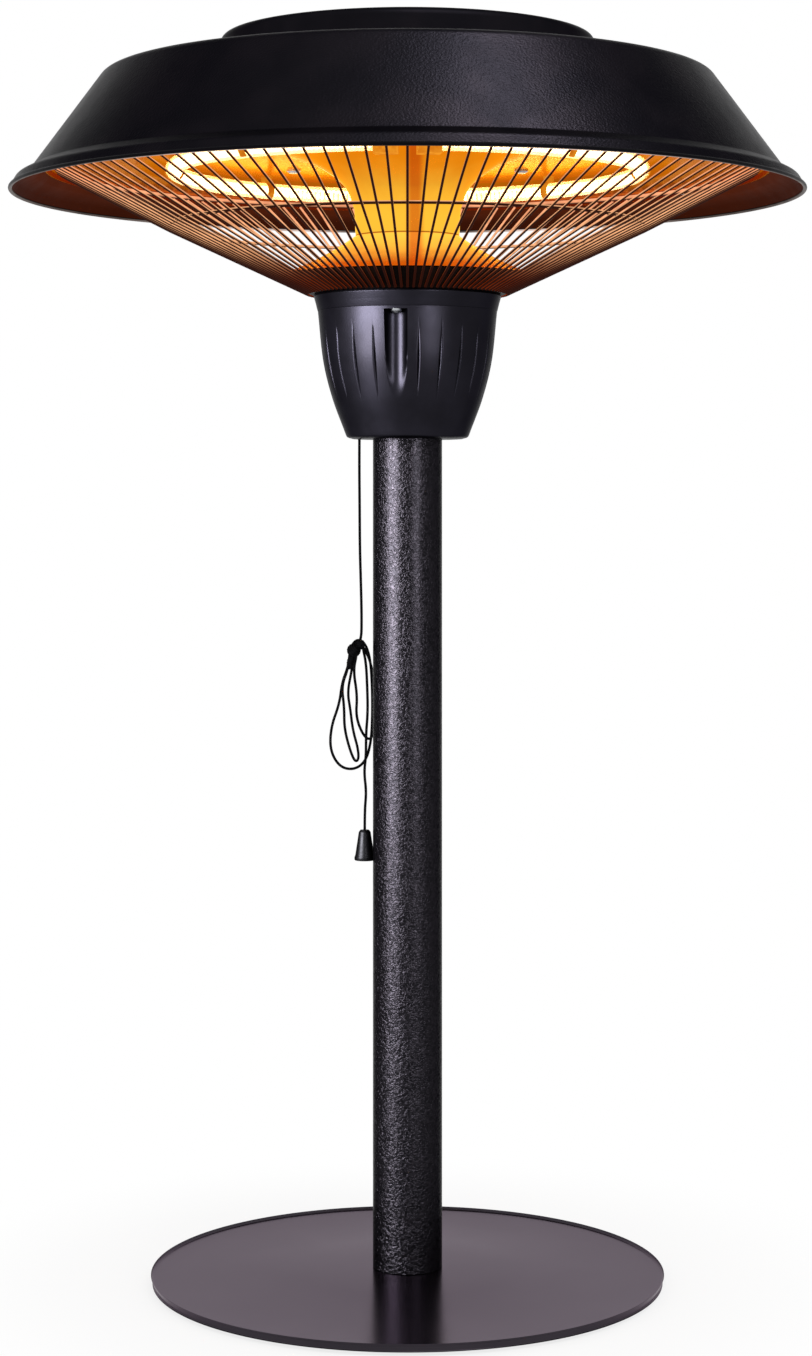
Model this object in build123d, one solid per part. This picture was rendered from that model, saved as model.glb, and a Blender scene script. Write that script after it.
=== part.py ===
"""Tabletop patio heater: a round steel base, a slim pole, a moulded housing with a pull switch,
and a lamp head of reflectors, two half-ring lamps, a welded wire guard and a steel shade.

Millimetres. The frame's origin is on the floor under the middle of the base, +Z up.
The heater's front faces -Y; front angles are counted from there, positive towards +X.
"""
import math
import os

from build123d import *

# Base and pole
FOOT_H = 2.0
FOOT_R = 10.0
FOOT_RING_R = 118.0
BASE_R = 140.3
BASE_T = 6.0
BASE_TOP = FOOT_H + BASE_T
POLE_R = 19.0
POLE_WALL = 1.5
POLE_TOP = 524.5
PLUG_T = 12.0
BASE_SCREW_RING_R = 10.0
CORD_OUTLET_Z = 34.0
CORD_OUTLET_R = 3.6

# Housing
HOUSING_BOTTOM = 462.0
HOUSING_JOINT = 532.0
HOUSING_TOP = 541.4
HOUSING_WALL = 2.5
HOUSING_PROFILE = [(34.3, 465.5), (41.3, 484.5), (46.3, 505.0), (49.2, HOUSING_JOINT)]
HOUSING_FLAT_R = 30.0
COVER_R = 51.4
FLUTE_R = 6.0
FLUTE_RING_R = 48.0
FLUTE_FRONT_ANGLE = -7.5
FLUTE_COUNT = 3
FLUTE_ROOF = 530.5
GROOVE_PITCH = 15.0
GROOVE_ENDS = [(48.9, 524.0), (42.0, 487.0)]
GROOVE_HALF_ANGLE = 32.0

# Inside the housing
FLANGE_Z = 525.0
FLANGE_T = 3.0
FLANGE_R = 39.5
FLANGE_BORE_R = 4.5
SOCKET_R = 22.0
SOCKET_LOW = 496.0
ROD_RING_R = 11.0
ROD_R = 3.0
ROD_LOW = 518.0
ROD_TOP = 670.0
CORE_R = 26.0
CORE_WALL = 1.5
SOCKET_SCREW_START = 73.0
SOCKET_SCREW_Z = 509.0
HOUSING_SCREW_RING_R = 45.6
TERMINAL_ANGLE = 73.0
TERMINAL_PITCH = 9.0
TERMINAL_BORE_R = 1.6
TILT_SWITCH_ANGLE = 160.0

# Pull switch and its cord
CORD_R = 0.75
PULL_X = -26.5
PULL_Y = 8.0
SWITCH_BOTTOM = 499.0
SPRING_SEAT = 501.0
PLUNGER_HEAD = 516.0
CORD_TOP = 490.0
BUSH_NECK_R = 2.25
KNOB_TOP = 246.6
KNOB_X = -23.6
KNOB_H = 16.8

# Wire guard
WIRE_COUNT = 108
WIRE_FLAT = 0.69
HUB_FOOT = (53.3, HOUSING_TOP)
HUB_R = 72.7
HUB_T = 1.0
GUARD_SLOPE_IN = 0.4654
GUARD_SLOPE_OUT = 0.51
GUARD_START_R = 54.5
GUARD_BEND_R = 132.0
GUARD_END_R = 192.6
MID_RING_R = 0.9
OUTER_RING_R = 1.25

# Lamp head
LAMP_Z = 609.0
LAMP_RING_R = 128.0
LAMP_R = 4.5
LAMP_END_ANGLE = 7.6
CEILING_Z = 617.5
REFLECTOR_RIM_Z = 611.0
REFLECTOR_LIP_R = 197.0
REFLECTOR_LIP_Z = 607.6
SHEET_T = 0.8
COLUMN_R = 28.5
COLUMN_BOTTOM = 573.3
COLUMN_T = 0.6
TRUMPET_PROFILE = [
    (29.2, 588.0),
    (33.0, 598.2),
    (40.5, 606.2),
    (52.0, 613.0),
    (64.0, CEILING_Z - COLUMN_T),
]

# Shade and cap
SHADE_T = 1.0
SHADE_TOP = 660.4
SHADE_SHOULDER_R = 165.9
SHADE_CREASE = (205.5, 606.5)
SHADE_FLARE = (213.2, 602.6)
SHADE_RIM = (216.5, 597.0)
HEM_R = 1.1
CAP_R = 102.6
CAP_TOP = 682.0
SPACER_RING_R = 92.0
CAP_SCREW_RING_R = 94.0

FRONT = -90.0
BOTTOM_ALIGN = (Align.CENTER, Align.CENTER, Align.MIN)


def polar(radius, front_angle):
    """The (x, y) place at a radius and an angle from the front."""
    angle = math.radians(FRONT + front_angle)
    return radius * math.cos(angle), radius * math.sin(angle)


def rod(radius, low, high, x=0.0, y=0.0):
    """An upright cylinder between two heights."""
    return Pos(x, y, low) * Cylinder(radius, high - low, align=BOTTOM_ALIGN)


def tube(outer, inner, low, high, x=0.0, y=0.0):
    """An upright tube between two heights."""
    return rod(outer, low, high, x, y) - rod(inner, low, high, x, y)


def turned(points, radii=0):
    """A solid turned about Z from a closed outline of (radius, height) points."""
    line = FilletPolyline(*points, radius=radii, close=True)
    return revolve(Plane.XZ * make_face(line), Axis.Z)


def spun_sheet(line, thickness, side):
    """A sheet of one thickness turned about Z from an open line of its outer face."""
    outline = offset(line, amount=thickness, side=side, kind=Kind.INTERSECTION, closed=True)
    return revolve(Plane.XZ * make_face(outline), Axis.Z)


def turned_to(shape, front_angle):
    """The shape, built towards the front, turned to another front angle."""
    return Rot(0, 0, front_angle) * shape


def around(shape, count, start=0.0):
    """Copies of a shape at equal angles round the axis."""
    return [turned_to(shape, start + 360.0 / count * step) for step in range(count)]


def block(radial, across, low, high):
    """A box in front of the axis, from radial[0] to radial[1] away from it."""
    depth = radial[1] - radial[0]
    middle = -(radial[0] + radial[1]) / 2
    return Pos(0, middle, low) * Box(across, depth, high - low, align=BOTTOM_ALIGN)


def pan_head_screw(head_r, head_h, shank_r, shank_h):
    """A screw standing on its domed head at the origin, shank upwards."""
    points = [(0, 0), (head_r * 0.6, 0), (head_r, head_h * 0.5), (head_r, head_h), (shank_r, head_h)]
    points += [(shank_r, head_h + shank_h), (0, head_h + shank_h)]
    return turned(points)


def hex_nut(across_flats, bore_r, height):
    """A hexagon nut standing on the origin."""
    body = extrude(RegularPolygon(across_flats / 2, 6, major_radius=False), height)
    return body - Cylinder(bore_r, height * 3)


def save(name, *shapes):
    """Writes one node, a single solid or a group of separate ones."""
    solids = [solid for shape in shapes for solid in shape.solids()]
    node = solids[0] if len(solids) == 1 else Compound(solids)
    export_step(node, f"parts/{name}.step")
    print(name, len(solids), round(sum(solid.volume for solid in solids)))


# Base plate, its pads, the pole and what fastens it
def make_base():
    """A heavy disc with an eased edge and three countersunk holes in its middle."""
    plate = turned(
        [(0, FOOT_H), (BASE_R, FOOT_H), (BASE_R, BASE_TOP), (0, BASE_TOP)],
        [0, 0.8, 1.5, 0],
    )
    for hole in around(base_screw_shape(0.1), 3):
        plate -= hole
    return plate


def base_screw_shape(gap=0.0):
    """A countersunk screw from under the plate up into the pole's foot plug."""
    head_r, shank_r = 5.5 + gap, 2.5 + gap
    top = BASE_TOP + 9.0
    points = [(0, FOOT_H), (head_r, FOOT_H), (shank_r, FOOT_H + 3.0), (shank_r, top), (0, top)]
    x, y = polar(BASE_SCREW_RING_R, 0)
    return Pos(x, y, 0) * turned(points)


def make_pole_plug():
    """A steel plug welded in the foot of the pole, tapped for the base screws."""
    plug = rod(POLE_R - POLE_WALL - 0.02, BASE_TOP, BASE_TOP + PLUG_T)
    for hole in around(base_screw_shape(0.05), 3):
        plug -= hole
    return plug


def rear_rod(radius, near, far, height):
    """A level cylinder along +Y at the rear of the pole."""
    return Pos(0, near, height) * Rot(-90, 0, 0) * Cylinder(radius, far - near, align=BOTTOM_ALIGN)


def make_pole():
    """The pole's tube, with the cord outlet's hole at the rear of its foot."""
    pole = tube(POLE_R, POLE_R - POLE_WALL, BASE_TOP, POLE_TOP)
    pole -= rear_rod(6.0, 10, 25, CORD_OUTLET_Z)
    for hole in around(socket_screw_shape(0.1), 3, SOCKET_SCREW_START):
        pole -= hole
    return pole


def make_outlet_grommet():
    """A rubber bush round the mains cord's outlet, with a lip on each side of the pole's wall."""
    inner_r = POLE_R - POLE_WALL
    outer_lip = rear_rod(8.0, 16.5, 21.2, CORD_OUTLET_Z) - rod(POLE_R, 20, 50)
    inner_lip = rear_rod(7.2, 14.2, 18.0, CORD_OUTLET_Z) & rod(inner_r, 20, 50)
    neck = rear_rod(5.9, 14.2, 20.5, CORD_OUTLET_Z)
    return outer_lip + inner_lip + neck - rear_rod(CORD_OUTLET_R, 0, 30, CORD_OUTLET_Z)


# Housing
def housing_line(inset=0.0):
    """The bell's side as a spline from its bottom corner to the joint."""
    return Spline(*[(r - inset, z) for r, z in HOUSING_PROFILE])


def housing_solid(inset=0.0):
    """The bell as a full solid, or its hollow where inset is the wall."""
    side = housing_line(inset)
    low = HOUSING_BOTTOM + inset
    top_z = HOUSING_PROFILE[-1][1]
    corner = ThreePointArc((HOUSING_FLAT_R - inset, low), (33.1 - inset, low + 1.1), side @ 0)
    bottom = Line((0, low), (HOUSING_FLAT_R - inset, low))
    rest = Polyline(side @ 1, (0, top_z), (0, low))
    return revolve(Plane.XZ * make_face([bottom, corner, side, rest]), Axis.Z)


def groove_cutter():
    """A straight V whose edge enters and leaves the bulging side of the bell."""
    (top_r, top_z), (low_r, low_z) = GROOVE_ENDS
    depth = 6.0
    half = depth * math.tan(math.radians(GROOVE_HALF_ANGLE))
    slant = math.atan2(top_r - low_r, top_z - low_z)
    length = math.hypot(top_r - low_r, top_z - low_z) + 12.0
    wedge = make_face(Polyline((0, 0), (half, -depth), (-half, -depth), close=True))
    cutter = Pos(0, 0, -length / 2) * extrude(wedge, length)
    middle = Pos(0, -(top_r + low_r) / 2, (top_z + low_z) / 2)
    return middle * Rot(math.degrees(slant), 0, 0) * cutter


def make_housing():
    """The moulded bell: a thin wall, three screw flutes and short V grooves between them."""
    outside = housing_solid()
    body = outside - housing_solid(HOUSING_WALL)
    flute_x, flute_y = polar(FLUTE_RING_R, 0)
    boss = outside & rod(FLUTE_R + 2.2, 476.0, HOUSING_JOINT, flute_x, flute_y)
    flute = rod(FLUTE_R, 480.0, FLUTE_ROOF, flute_x, flute_y)
    flute += rod(1.9, 520.0, HOUSING_JOINT + 2, *polar(HOUSING_SCREW_RING_R, 0))
    for solid in around(boss, FLUTE_COUNT, FLUTE_FRONT_ANGLE):
        body += solid
    for solid in around(flute, FLUTE_COUNT, FLUTE_FRONT_ANGLE):
        body -= solid
    places = int(360 / GROOVE_PITCH)
    flute_step = places // FLUTE_COUNT
    cutter = groove_cutter()
    for place in range(places):
        if place % flute_step:
            body -= turned_to(cutter, FLUTE_FRONT_ANGLE + GROOVE_PITCH * place)
    body -= rod(POLE_R + 0.2, 455, 475)
    body -= rod(BUSH_NECK_R, 455, 475, PULL_X, PULL_Y)
    body -= rod(3.5, HOUSING_BOTTOM + HOUSING_WALL, 470, PULL_X, PULL_Y)
    return body


def make_top_cover():
    """The housing's lid: an outer collar, a flat top and a boss that stands on the flange."""
    points = [
        (22.0, FLANGE_Z + FLANGE_T),
        (31.0, FLANGE_Z + FLANGE_T),
        (31.0, 538.0),
        (41.0, 538.0),
        (41.0, HOUSING_JOINT),
        (49.3, HOUSING_JOINT),
        (50.3, 536.0),
        (COVER_R, 540.0),
        (COVER_R - 0.5, HOUSING_TOP),
        (22.0, HOUSING_TOP),
    ]
    cover = turned(points, [0, 0, 0, 0, 0, 0, 4.0, 0.6, 0, 0])
    x, y = polar(HOUSING_SCREW_RING_R, 0)
    for hole in around(rod(1.75, 530, 539, x, y), FLUTE_COUNT, FLUTE_FRONT_ANGLE):
        cover -= hole
    return cover


def make_housing_screws():
    """Three screws at the tops of the flutes, up through the body into the lid."""
    x, y = polar(HOUSING_SCREW_RING_R, 0)
    head_h = 2.2
    screw = Pos(x, y, FLUTE_ROOF - head_h) * pan_head_screw(3.0, head_h, 1.7, 8.0)
    return around(screw, FLUTE_COUNT, FLUTE_FRONT_ANGLE)


# Inside the housing
def socket_screw_shape(gap=0.0):
    """A screw that pins the socket to the pole, level and towards the axis."""
    screw = pan_head_screw(3.6, 2.4, 2.0 + gap, 7.5)
    return Pos(0, -SOCKET_R - 2.4, SOCKET_SCREW_Z) * Rot(-90, 0, 0) * screw


def make_pole_socket():
    """A steel flange with a socket over the top of the pole."""
    socket = tube(SOCKET_R, POLE_R + 0.05, SOCKET_LOW, FLANGE_Z)
    flange = tube(FLANGE_R, FLANGE_BORE_R, FLANGE_Z, FLANGE_Z + FLANGE_T)
    body = socket + flange
    for hole in around(socket_screw_shape(0.05), 3, SOCKET_SCREW_START):
        body -= hole
    for hole in around(rod(ROD_R + 0.2, 520, 530, *polar(ROD_RING_R, 0)), 3):
        body -= hole
    return body


def make_tie_rods():
    """Three rods that clamp the head's stack to the pole's flange."""
    return around(rod(ROD_R, ROD_LOW, ROD_TOP, *polar(ROD_RING_R, 0)), 3)


def make_rod_nuts():
    """A nut under the flange and one over the shade on each tie rod."""
    x, y = polar(ROD_RING_R, 0)
    nut = hex_nut(10.0, ROD_R, 5.0)
    pair = [Pos(x, y, FLANGE_Z - 5.0) * nut, Pos(x, y, SHADE_TOP) * nut]
    return [copy for one in pair for copy in around(one, 3)]


def make_core_tube():
    """The steel tube inside the head, from the guard's hub up to the shade."""
    return tube(CORE_R, CORE_R - CORE_WALL, HOUSING_TOP + HUB_T, SHADE_TOP - SHADE_T)


def make_terminal_block():
    """A ceramic terminal block under the flange, with three clamp towers."""
    base_low = FLANGE_Z - 11.0
    tower_low = base_low - 5.0
    body = block((27.0, 39.0), 28.0, base_low, FLANGE_Z)
    for x in (-TERMINAL_PITCH, 0.0, TERMINAL_PITCH):
        body += Pos(x, 0, 0) * block((29.0, 37.0), 6.0, tower_low, base_low)
        body -= rod(TERMINAL_BORE_R, tower_low - 1.0, tower_low + 4.0, x, -33.0)
    return turned_to(body, TERMINAL_ANGLE)


def make_tilt_switch():
    """The sealed tip-over switch, a small case hung under the flange by two ears."""
    case = block((26.0, 38.0), 17.0, 504.0, FLANGE_Z - 1.5)
    case = fillet(case.edges().filter_by(Axis.Z), 1.5)
    ear = block((29.0, 35.0), 26.0, FLANGE_Z - 1.5, FLANGE_Z)
    return turned_to(case + ear, TILT_SWITCH_ANGLE)


# Pull switch
PULL_ANGLE = math.degrees(math.atan2(PULL_Y, PULL_X)) - FRONT
PULL_RING_R = math.hypot(PULL_X, PULL_Y)


def make_switch_body():
    """The switch's case, hollow for the plunger's head and spring."""
    case = block((23.5, 38.5), 20.0, SWITCH_BOTTOM, FLANGE_Z)
    case = fillet(case.edges().filter_by(Axis.Z), 1.0)
    case -= rod(3.2, SPRING_SEAT, 521.0, 0, -PULL_RING_R)
    case -= rod(1.5, SWITCH_BOTTOM - 2, SPRING_SEAT + 2, 0, -PULL_RING_R)
    return turned_to(case, PULL_ANGLE)


def make_plunger():
    """The switch's plunger: a head on the spring, a stem and the cord's eye."""
    points = [
        (0, CORD_TOP),
        (1.9, CORD_TOP),
        (1.9, CORD_TOP + 4.0),
        (1.2, CORD_TOP + 4.8),
        (1.2, PLUNGER_HEAD),
        (2.8, PLUNGER_HEAD),
        (2.8, PLUNGER_HEAD + 2.0),
        (0, PLUNGER_HEAD + 2.0),
    ]
    return Pos(PULL_X, PULL_Y, 0) * turned(points)


def make_return_spring():
    """The plunger's spring, ground flat at both ends."""
    wire_r, coil_r, turns = 0.25, 2.1, 5
    length = PLUNGER_HEAD - SPRING_SEAT
    path = Helix(pitch=(length - 0.6) / turns, height=length - 0.6, radius=coil_r)
    section = Plane(origin=path @ 0, z_dir=path % 0) * Circle(wire_r)
    coil = Pos(PULL_X, PULL_Y, SPRING_SEAT + 0.3) * sweep(section, path=path)
    return coil


def make_guide_bush():
    """The bush in the housing's floor that the pull cord slides through."""
    low = HOUSING_BOTTOM
    inside = low + HOUSING_WALL
    top = inside + 1.2
    bore_r, neck_r, head_r = 1.3, BUSH_NECK_R, 3.4
    points = [(bore_r, low), (neck_r, low), (neck_r, inside)]
    points += [(head_r, inside), (head_r, top), (bore_r, top)]
    return Pos(PULL_X, PULL_Y, 0) * turned(points)


# Pull cord: every route is a list of points that the tube's runs join
UPPER_ROUTE = [
    (PULL_X, PULL_Y, CORD_TOP),
    (PULL_X, PULL_Y, 470.0),
    (-26.6, 8.0, 446.0),
    (-26.4, 8.1, 424.0),
    (-26.3, 8.1, 402.0),
    (-25.7, 8.2, 382.0),
    (-25.3, 8.4, 364.0),
    (-25.5, 8.5, 350.6),
]
HANK_ROUTE = [
    (-29.0, 10.6, 349.5),
    (-31.6, 10.8, 343.0),
    (-33.2, 10.8, 335.5),
    (-36.2, 10.3, 327.5),
    (-37.6, 9.8, 316.0),
    (-42.2, 9.6, 303.5),
    (-42.9, 9.8, 290.5),
    (-37.6, 10.4, 281.0),
    (-29.6, 11.0, 279.3),
    (-23.0, 11.4, 284.0),
    (-20.0, 11.6, 295.5),
    (-19.4, 11.6, 311.0),
    (-19.6, 11.5, 327.0),
    (-20.6, 11.2, 341.0),
    (-23.4, 10.8, 349.6),
    (-28.2, 9.2, 352.0),
    (-31.8, 8.2, 346.5),
    (-32.6, 7.8, 336.0),
    (-36.4, 7.4, 326.0),
    (-34.9, 7.4, 314.5),
    (-34.9, 7.6, 303.0),
    (-32.2, 7.8, 292.0),
    (-29.2, 8.0, 284.2),
    (-27.0, 8.2, 285.0),
    (-27.2, 8.4, 291.0),
    (-30.2, 9.0, 301.5),
    (-31.6, 9.6, 313.0),
    (-33.2, 10.0, 322.5),
    (-30.8, 10.0, 334.5),
    (-29.6, 9.8, 344.0),
    (-28.4, 8.2, 347.2),
    (-28.0, 6.8, 343.2),
    (-29.9, 7.2, 334.5),
    (-27.7, 9.6, 320.5),
    (-28.6, 11.6, 309.0),
    (-25.0, 13.0, 299.0),
    (-21.0, 13.8, 295.3),
    (-18.4, 14.2, 300.0),
    (-17.6, 14.4, 313.0),
    (-18.4, 14.2, 328.0),
    (-20.6, 13.6, 339.5),
    (-24.0, 12.8, 346.5),
]
TAIL_ROUTE = [
    (-24.8, 8.4, 347.6),
    (-22.9, 8.0, 339.0),
    (-22.2, 8.0, 325.5),
    (-21.9, 8.0, 311.5),
    (-22.9, 8.0, 299.5),
    (-22.9, 8.0, 287.0),
    (-24.0, 8.0, 278.5),
    (-22.7, 8.0, 267.5),
    (-23.6, 8.0, 257.5),
    (KNOB_X, 8.0, KNOB_TOP),
]


def cord_radii(route):
    """The arc at each corner: 0.45 of the shorter run over the tangent of half the turn."""
    radii = []
    for before, here, after in zip(route, route[1:], route[2:]):
        run_in = Vector(here) - Vector(before)
        run_out = Vector(after) - Vector(here)
        half_turn = math.radians(run_in.get_angle(run_out) / 2)
        radii.append(0.45 * min(run_in.length, run_out.length) / math.tan(half_turn))
    return radii


def cord_tube(name, route):
    """A round cord along a route of straight runs joined by tangent arcs."""
    radii = cord_radii(route)
    path = FilletPolyline(*route, radius=radii)
    section = Plane(origin=path @ 0, z_dir=path % 0) * Circle(CORD_R)
    cord = sweep(section, path=path)
    share = cord.volume / (math.pi * CORD_R**2 * path.length)
    print(name, "length", round(path.length, 1), "volume share", round(share, 4))
    print(name, "radii", [round(radius, 1) for radius in radii])
    return cord, path


def least_gap(path):
    """The least clear gap of a cord to itself, on points along its line."""
    step = 1.0
    count = int(path.length / step)
    points = [path @ (index / count) for index in range(count + 1)]
    skip = 8
    gaps = []
    for index, point in enumerate(points):
        gaps += [(point - other).length for other in points[index + skip:]]
    return min(gaps) - 2 * CORD_R


def make_knot():
    """The knot that gathers the hank: two round lobes turned as one solid about their common line."""
    low_r, high_r = 3.2, 3.0
    low, high = Vector(-30.2, 9.3, 345.6), Vector(-26.3, 9.6, 348.6)
    apart = (high - low).length
    waist_z = (apart**2 + low_r**2 - high_r**2) / (2 * apart)
    waist = (math.sqrt(low_r**2 - waist_z**2), waist_z)
    low_arc = ThreePointArc((0, -low_r), (low_r, 0), waist)
    high_arc = ThreePointArc(waist, (high_r, apart), (0, apart + high_r))
    outline = make_face([low_arc, high_arc, Line((0, apart + high_r), (0, -low_r))])
    lobes = revolve(Plane.XZ * outline, Axis.Z)
    return Plane(origin=low, z_dir=high - low) * lobes


def make_knob():
    """The pull knob: a tapered bell with a small ledge near its foot."""
    top, low = KNOB_TOP, KNOB_TOP - KNOB_H
    points = [(0, low), (5.6, low), (5.75, low + 1.6), (5.2, low + 3.0)]
    points += [(3.3, top - 1.2), (2.4, top), (0, top)]
    return Pos(KNOB_X, 8.0, 0) * turned(points, [0, 0.5, 0, 0, 1.0, 0, 0])


# Wire guard
def hub_line_z(radius):
    """The height of the hub's underside line, along which the wires lie."""
    return HUB_FOOT[1] + GUARD_SLOPE_IN * (radius - HUB_FOOT[0])


def wire_height(radius):
    """The height of a wire's middle at a radius."""
    tilt = math.atan(GUARD_SLOPE_IN)
    drop = WIRE_FLAT / math.cos(tilt)
    if radius <= GUARD_BEND_R:
        return hub_line_z(radius) - drop
    return hub_line_z(GUARD_BEND_R) - drop + GUARD_SLOPE_OUT * (radius - GUARD_BEND_R)


def make_wires():
    """The guard's radial wires, each bent once where the middle ring crosses."""
    radii = (GUARD_START_R, GUARD_BEND_R, GUARD_END_R)
    path = Polyline(*[(0, -radius, wire_height(radius)) for radius in radii])
    start = Plane(origin=path @ 0, x_dir=(1, 0, 0), z_dir=path % 0)
    section = start * RegularPolygon(WIRE_FLAT, 6, major_radius=False)
    wire = sweep(section, path=path, transition=Transition.RIGHT)
    return around(wire, WIRE_COUNT)


def guard_ring(radius, slope, ring_r):
    """A ring that lies on the wires' inner side, its flat along their slope."""
    tilt = math.atan(slope)
    reach = WIRE_FLAT + ring_r
    middle_r = radius - reach * math.sin(tilt)
    middle_z = wire_height(radius) + reach * math.cos(tilt)
    section = RegularPolygon(ring_r, 6, major_radius=False, rotation=math.degrees(tilt))
    return revolve(Plane.XZ * Pos(middle_r, middle_z) * section, Axis.Z)


def make_hub():
    """The black hub of the guard: a flat foot ring and a cone that carries the wires."""
    line = Polyline((22.0, HUB_FOOT[1]), HUB_FOOT, (HUB_R, hub_line_z(HUB_R)))
    return spun_sheet(line, HUB_T, Side.LEFT)


def make_guard_clips():
    """Six tongues under the reflector's rim that hold the outer ring."""
    foot = block((189.5, 193.9), 6.0, 607.2, 607.95)
    leg = block((192.9, 193.9), 6.0, 607.2, REFLECTOR_RIM_Z)
    return around(foot + leg, 6, 180.0 / WIRE_COUNT)


# Reflectors and lamps
def make_lower_cone():
    """The polished cone round the foot of the column."""
    line = ThreePointArc((70.0, 551.5), (48.0, 561.2), (COLUMN_R, COLUMN_BOTTOM))
    return spun_sheet(line, 0.6, Side.LEFT)


def make_column():
    """The polished column, flaring like a trumpet up to the ceiling."""
    edges = []
    for inset in (0.0, COLUMN_T):
        foot = (COLUMN_R - inset, COLUMN_BOTTOM)
        flare = Spline(*[(r - inset, z + inset) for r, z in TRUMPET_PROFILE])
        edges += [Line(foot, flare @ 0), flare]
    outer_top = edges[1] @ 1
    inner_top = edges[3] @ 1
    edges.append(Line(outer_top, inner_top))
    edges.append(Line((COLUMN_R, COLUMN_BOTTOM), (COLUMN_R - COLUMN_T, COLUMN_BOTTOM)))
    return revolve(Plane.XZ * make_face(edges), Axis.Z)


def make_reflector():
    """The polished dish over the lamps, with its rim and turned-down lip."""
    line = FilletPolyline(
        (60.0, CEILING_Z),
        (139.0, CEILING_Z),
        (149.0, REFLECTOR_RIM_Z),
        (REFLECTOR_LIP_R, REFLECTOR_RIM_Z),
        (REFLECTOR_LIP_R, REFLECTOR_LIP_Z),
        radius=[3.0, 3.0, 1.2],
    )
    dish = spun_sheet(line, SHEET_T, Side.LEFT)
    for hole in around(rod(2.1, 600, 640, *polar(SPACER_RING_R, 0)), 4, 45):
        dish -= hole
    return dish


def make_lamp(side):
    """A half-ring quartz lamp on the right (1) or the left (-1)."""
    section = Plane.XZ * Pos(LAMP_RING_R, LAMP_Z) * Circle(LAMP_R)
    arc = 180.0 - 2 * LAMP_END_ANGLE
    lamp = revolve(section, Axis.Z, revolution_arc=arc)
    start = FRONT + LAMP_END_ANGLE
    return Rot(0, 0, start if side > 0 else start + 180.0) * lamp


def lamp_end_block(size, low):
    """A block at the front end of the right lamp, square to the tube's end."""
    depth, across, high = size
    shape = Box(depth, across, high, align=(Align.MAX, Align.CENTER, Align.MIN))
    return Rot(0, 0, LAMP_END_ANGLE) * Pos(0, -LAMP_RING_R, low) * shape


def make_end_caps():
    """The four ceramic caps on the lamps' ends."""
    cap = lamp_end_block((12.0, 11.0, 12.0), LAMP_Z - 6.0)
    cap = fillet(cap.edges().filter_by(Axis.Z), 1.5)
    return mirrored_ends(cap)


def make_end_brackets():
    """Plates that carry the end caps under the ceiling."""
    return mirrored_ends(lamp_end_block((12.0, 14.0, CEILING_Z - LAMP_Z - 6.0), LAMP_Z + 6.0))


def mirrored_ends(shape):
    """A piece at the front end of the right lamp, repeated at the other three ends."""
    twin = mirror(shape, Plane.YZ)
    return [shape, twin, Rot(0, 0, 180) * shape, Rot(0, 0, 180) * twin]


def make_lamp_clips():
    """Sprung clips that hold the lamps under the ceiling, open below."""
    ring = Cylinder(5.3, 4.0) - Cylinder(4.62, 5.0)
    ring -= Pos(0, -5.0, 0) * Box(6.0, 6.0, 6.0)
    clip = Pos(0, -LAMP_RING_R, LAMP_Z) * Rot(0, 0, 90) * Rot(90, 0, 0) * ring
    stem = Pos(0, -LAMP_RING_R, LAMP_Z + 4.9) * Box(4.0, 5.0, CEILING_Z - LAMP_Z - 4.9, align=BOTTOM_ALIGN)
    return [turned_to(clip + stem, angle) for angle in (40, 90, 140, -40, -90, -140)]


def make_spacers():
    """Four tubes that hang the reflector from the shade."""
    x, y = polar(SPACER_RING_R, 0)
    post = tube(5.0, 2.1, CEILING_Z + SHEET_T, SHADE_TOP - SHADE_T, x, y)
    return around(post, 4, 45)


def make_spacer_screws():
    """A screw at each end of each spacer."""
    x, y = polar(SPACER_RING_R, 0)
    head_h = 2.0
    low = Pos(x, y, CEILING_Z - head_h) * pan_head_screw(4.0, head_h, 2.0, 12.0)
    high = Pos(x, y, SHADE_TOP + head_h) * Rot(180, 0, 0) * pan_head_screw(4.0, head_h, 2.0, 12.0)
    return around(low, 4, 45) + around(high, 4, 45)


def make_thermal_cutout():
    """The overheat cut-out, a button on a strap on the reflector's back."""
    base_z = CEILING_Z + SHEET_T
    strap = block((48.0, 76.0), 10.0, base_z, base_z + 0.8)
    return turned_to(strap + rod(8.0, base_z, base_z + 6.5, 0, -62.0), 100.0)


# Shade and cap
def make_shade():
    """The outer shade: flat top, round shoulder, conical side, flared rim and hem."""
    line = FilletPolyline(
        (0, SHADE_TOP),
        (SHADE_SHOULDER_R, SHADE_TOP),
        SHADE_CREASE,
        SHADE_FLARE,
        SHADE_RIM,
        radius=[8.0, 2.5, 5.0],
    )
    shade = spun_sheet(line, SHADE_T, Side.RIGHT)
    hem = revolve(Plane.XZ * Pos(SHADE_RIM[0] - 0.3, SHADE_RIM[1] - 0.2) * Circle(HEM_R), Axis.Z)
    shade += hem
    for hole in around(rod(ROD_R + 0.2, 640, 680, *polar(ROD_RING_R, 0)), 3):
        shade -= hole
    for hole in around(rod(2.1, 640, 680, *polar(SPACER_RING_R, 0)), 4, 45):
        shade -= hole
    for hole in around(rod(2.1, 640, 680, *polar(CAP_SCREW_RING_R, 0)), 3, 30):
        shade -= hole
    return shade


def make_cap():
    """The shallow cap over the shade's top."""
    line = FilletPolyline((0, CAP_TOP), (CAP_R, CAP_TOP), (CAP_R, SHADE_TOP), radius=[4.0])
    return spun_sheet(line, SHADE_T, Side.RIGHT)


def make_cap_brackets():
    """Three angle brackets inside the cap's skirt, tapped for its screws."""
    foot = block((88.0, 100.0), 14.0, SHADE_TOP, SHADE_TOP + 1.5)
    leg = block((100.0, 102.0), 14.0, SHADE_TOP, SHADE_TOP + 12.0)
    leg &= rod(CAP_R - SHADE_T, SHADE_TOP, SHADE_TOP + 12.0)
    bracket = foot + leg - rod(2.0, 655, 670, *polar(CAP_SCREW_RING_R, 0))
    return around(bracket, 3, 30)


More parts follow.
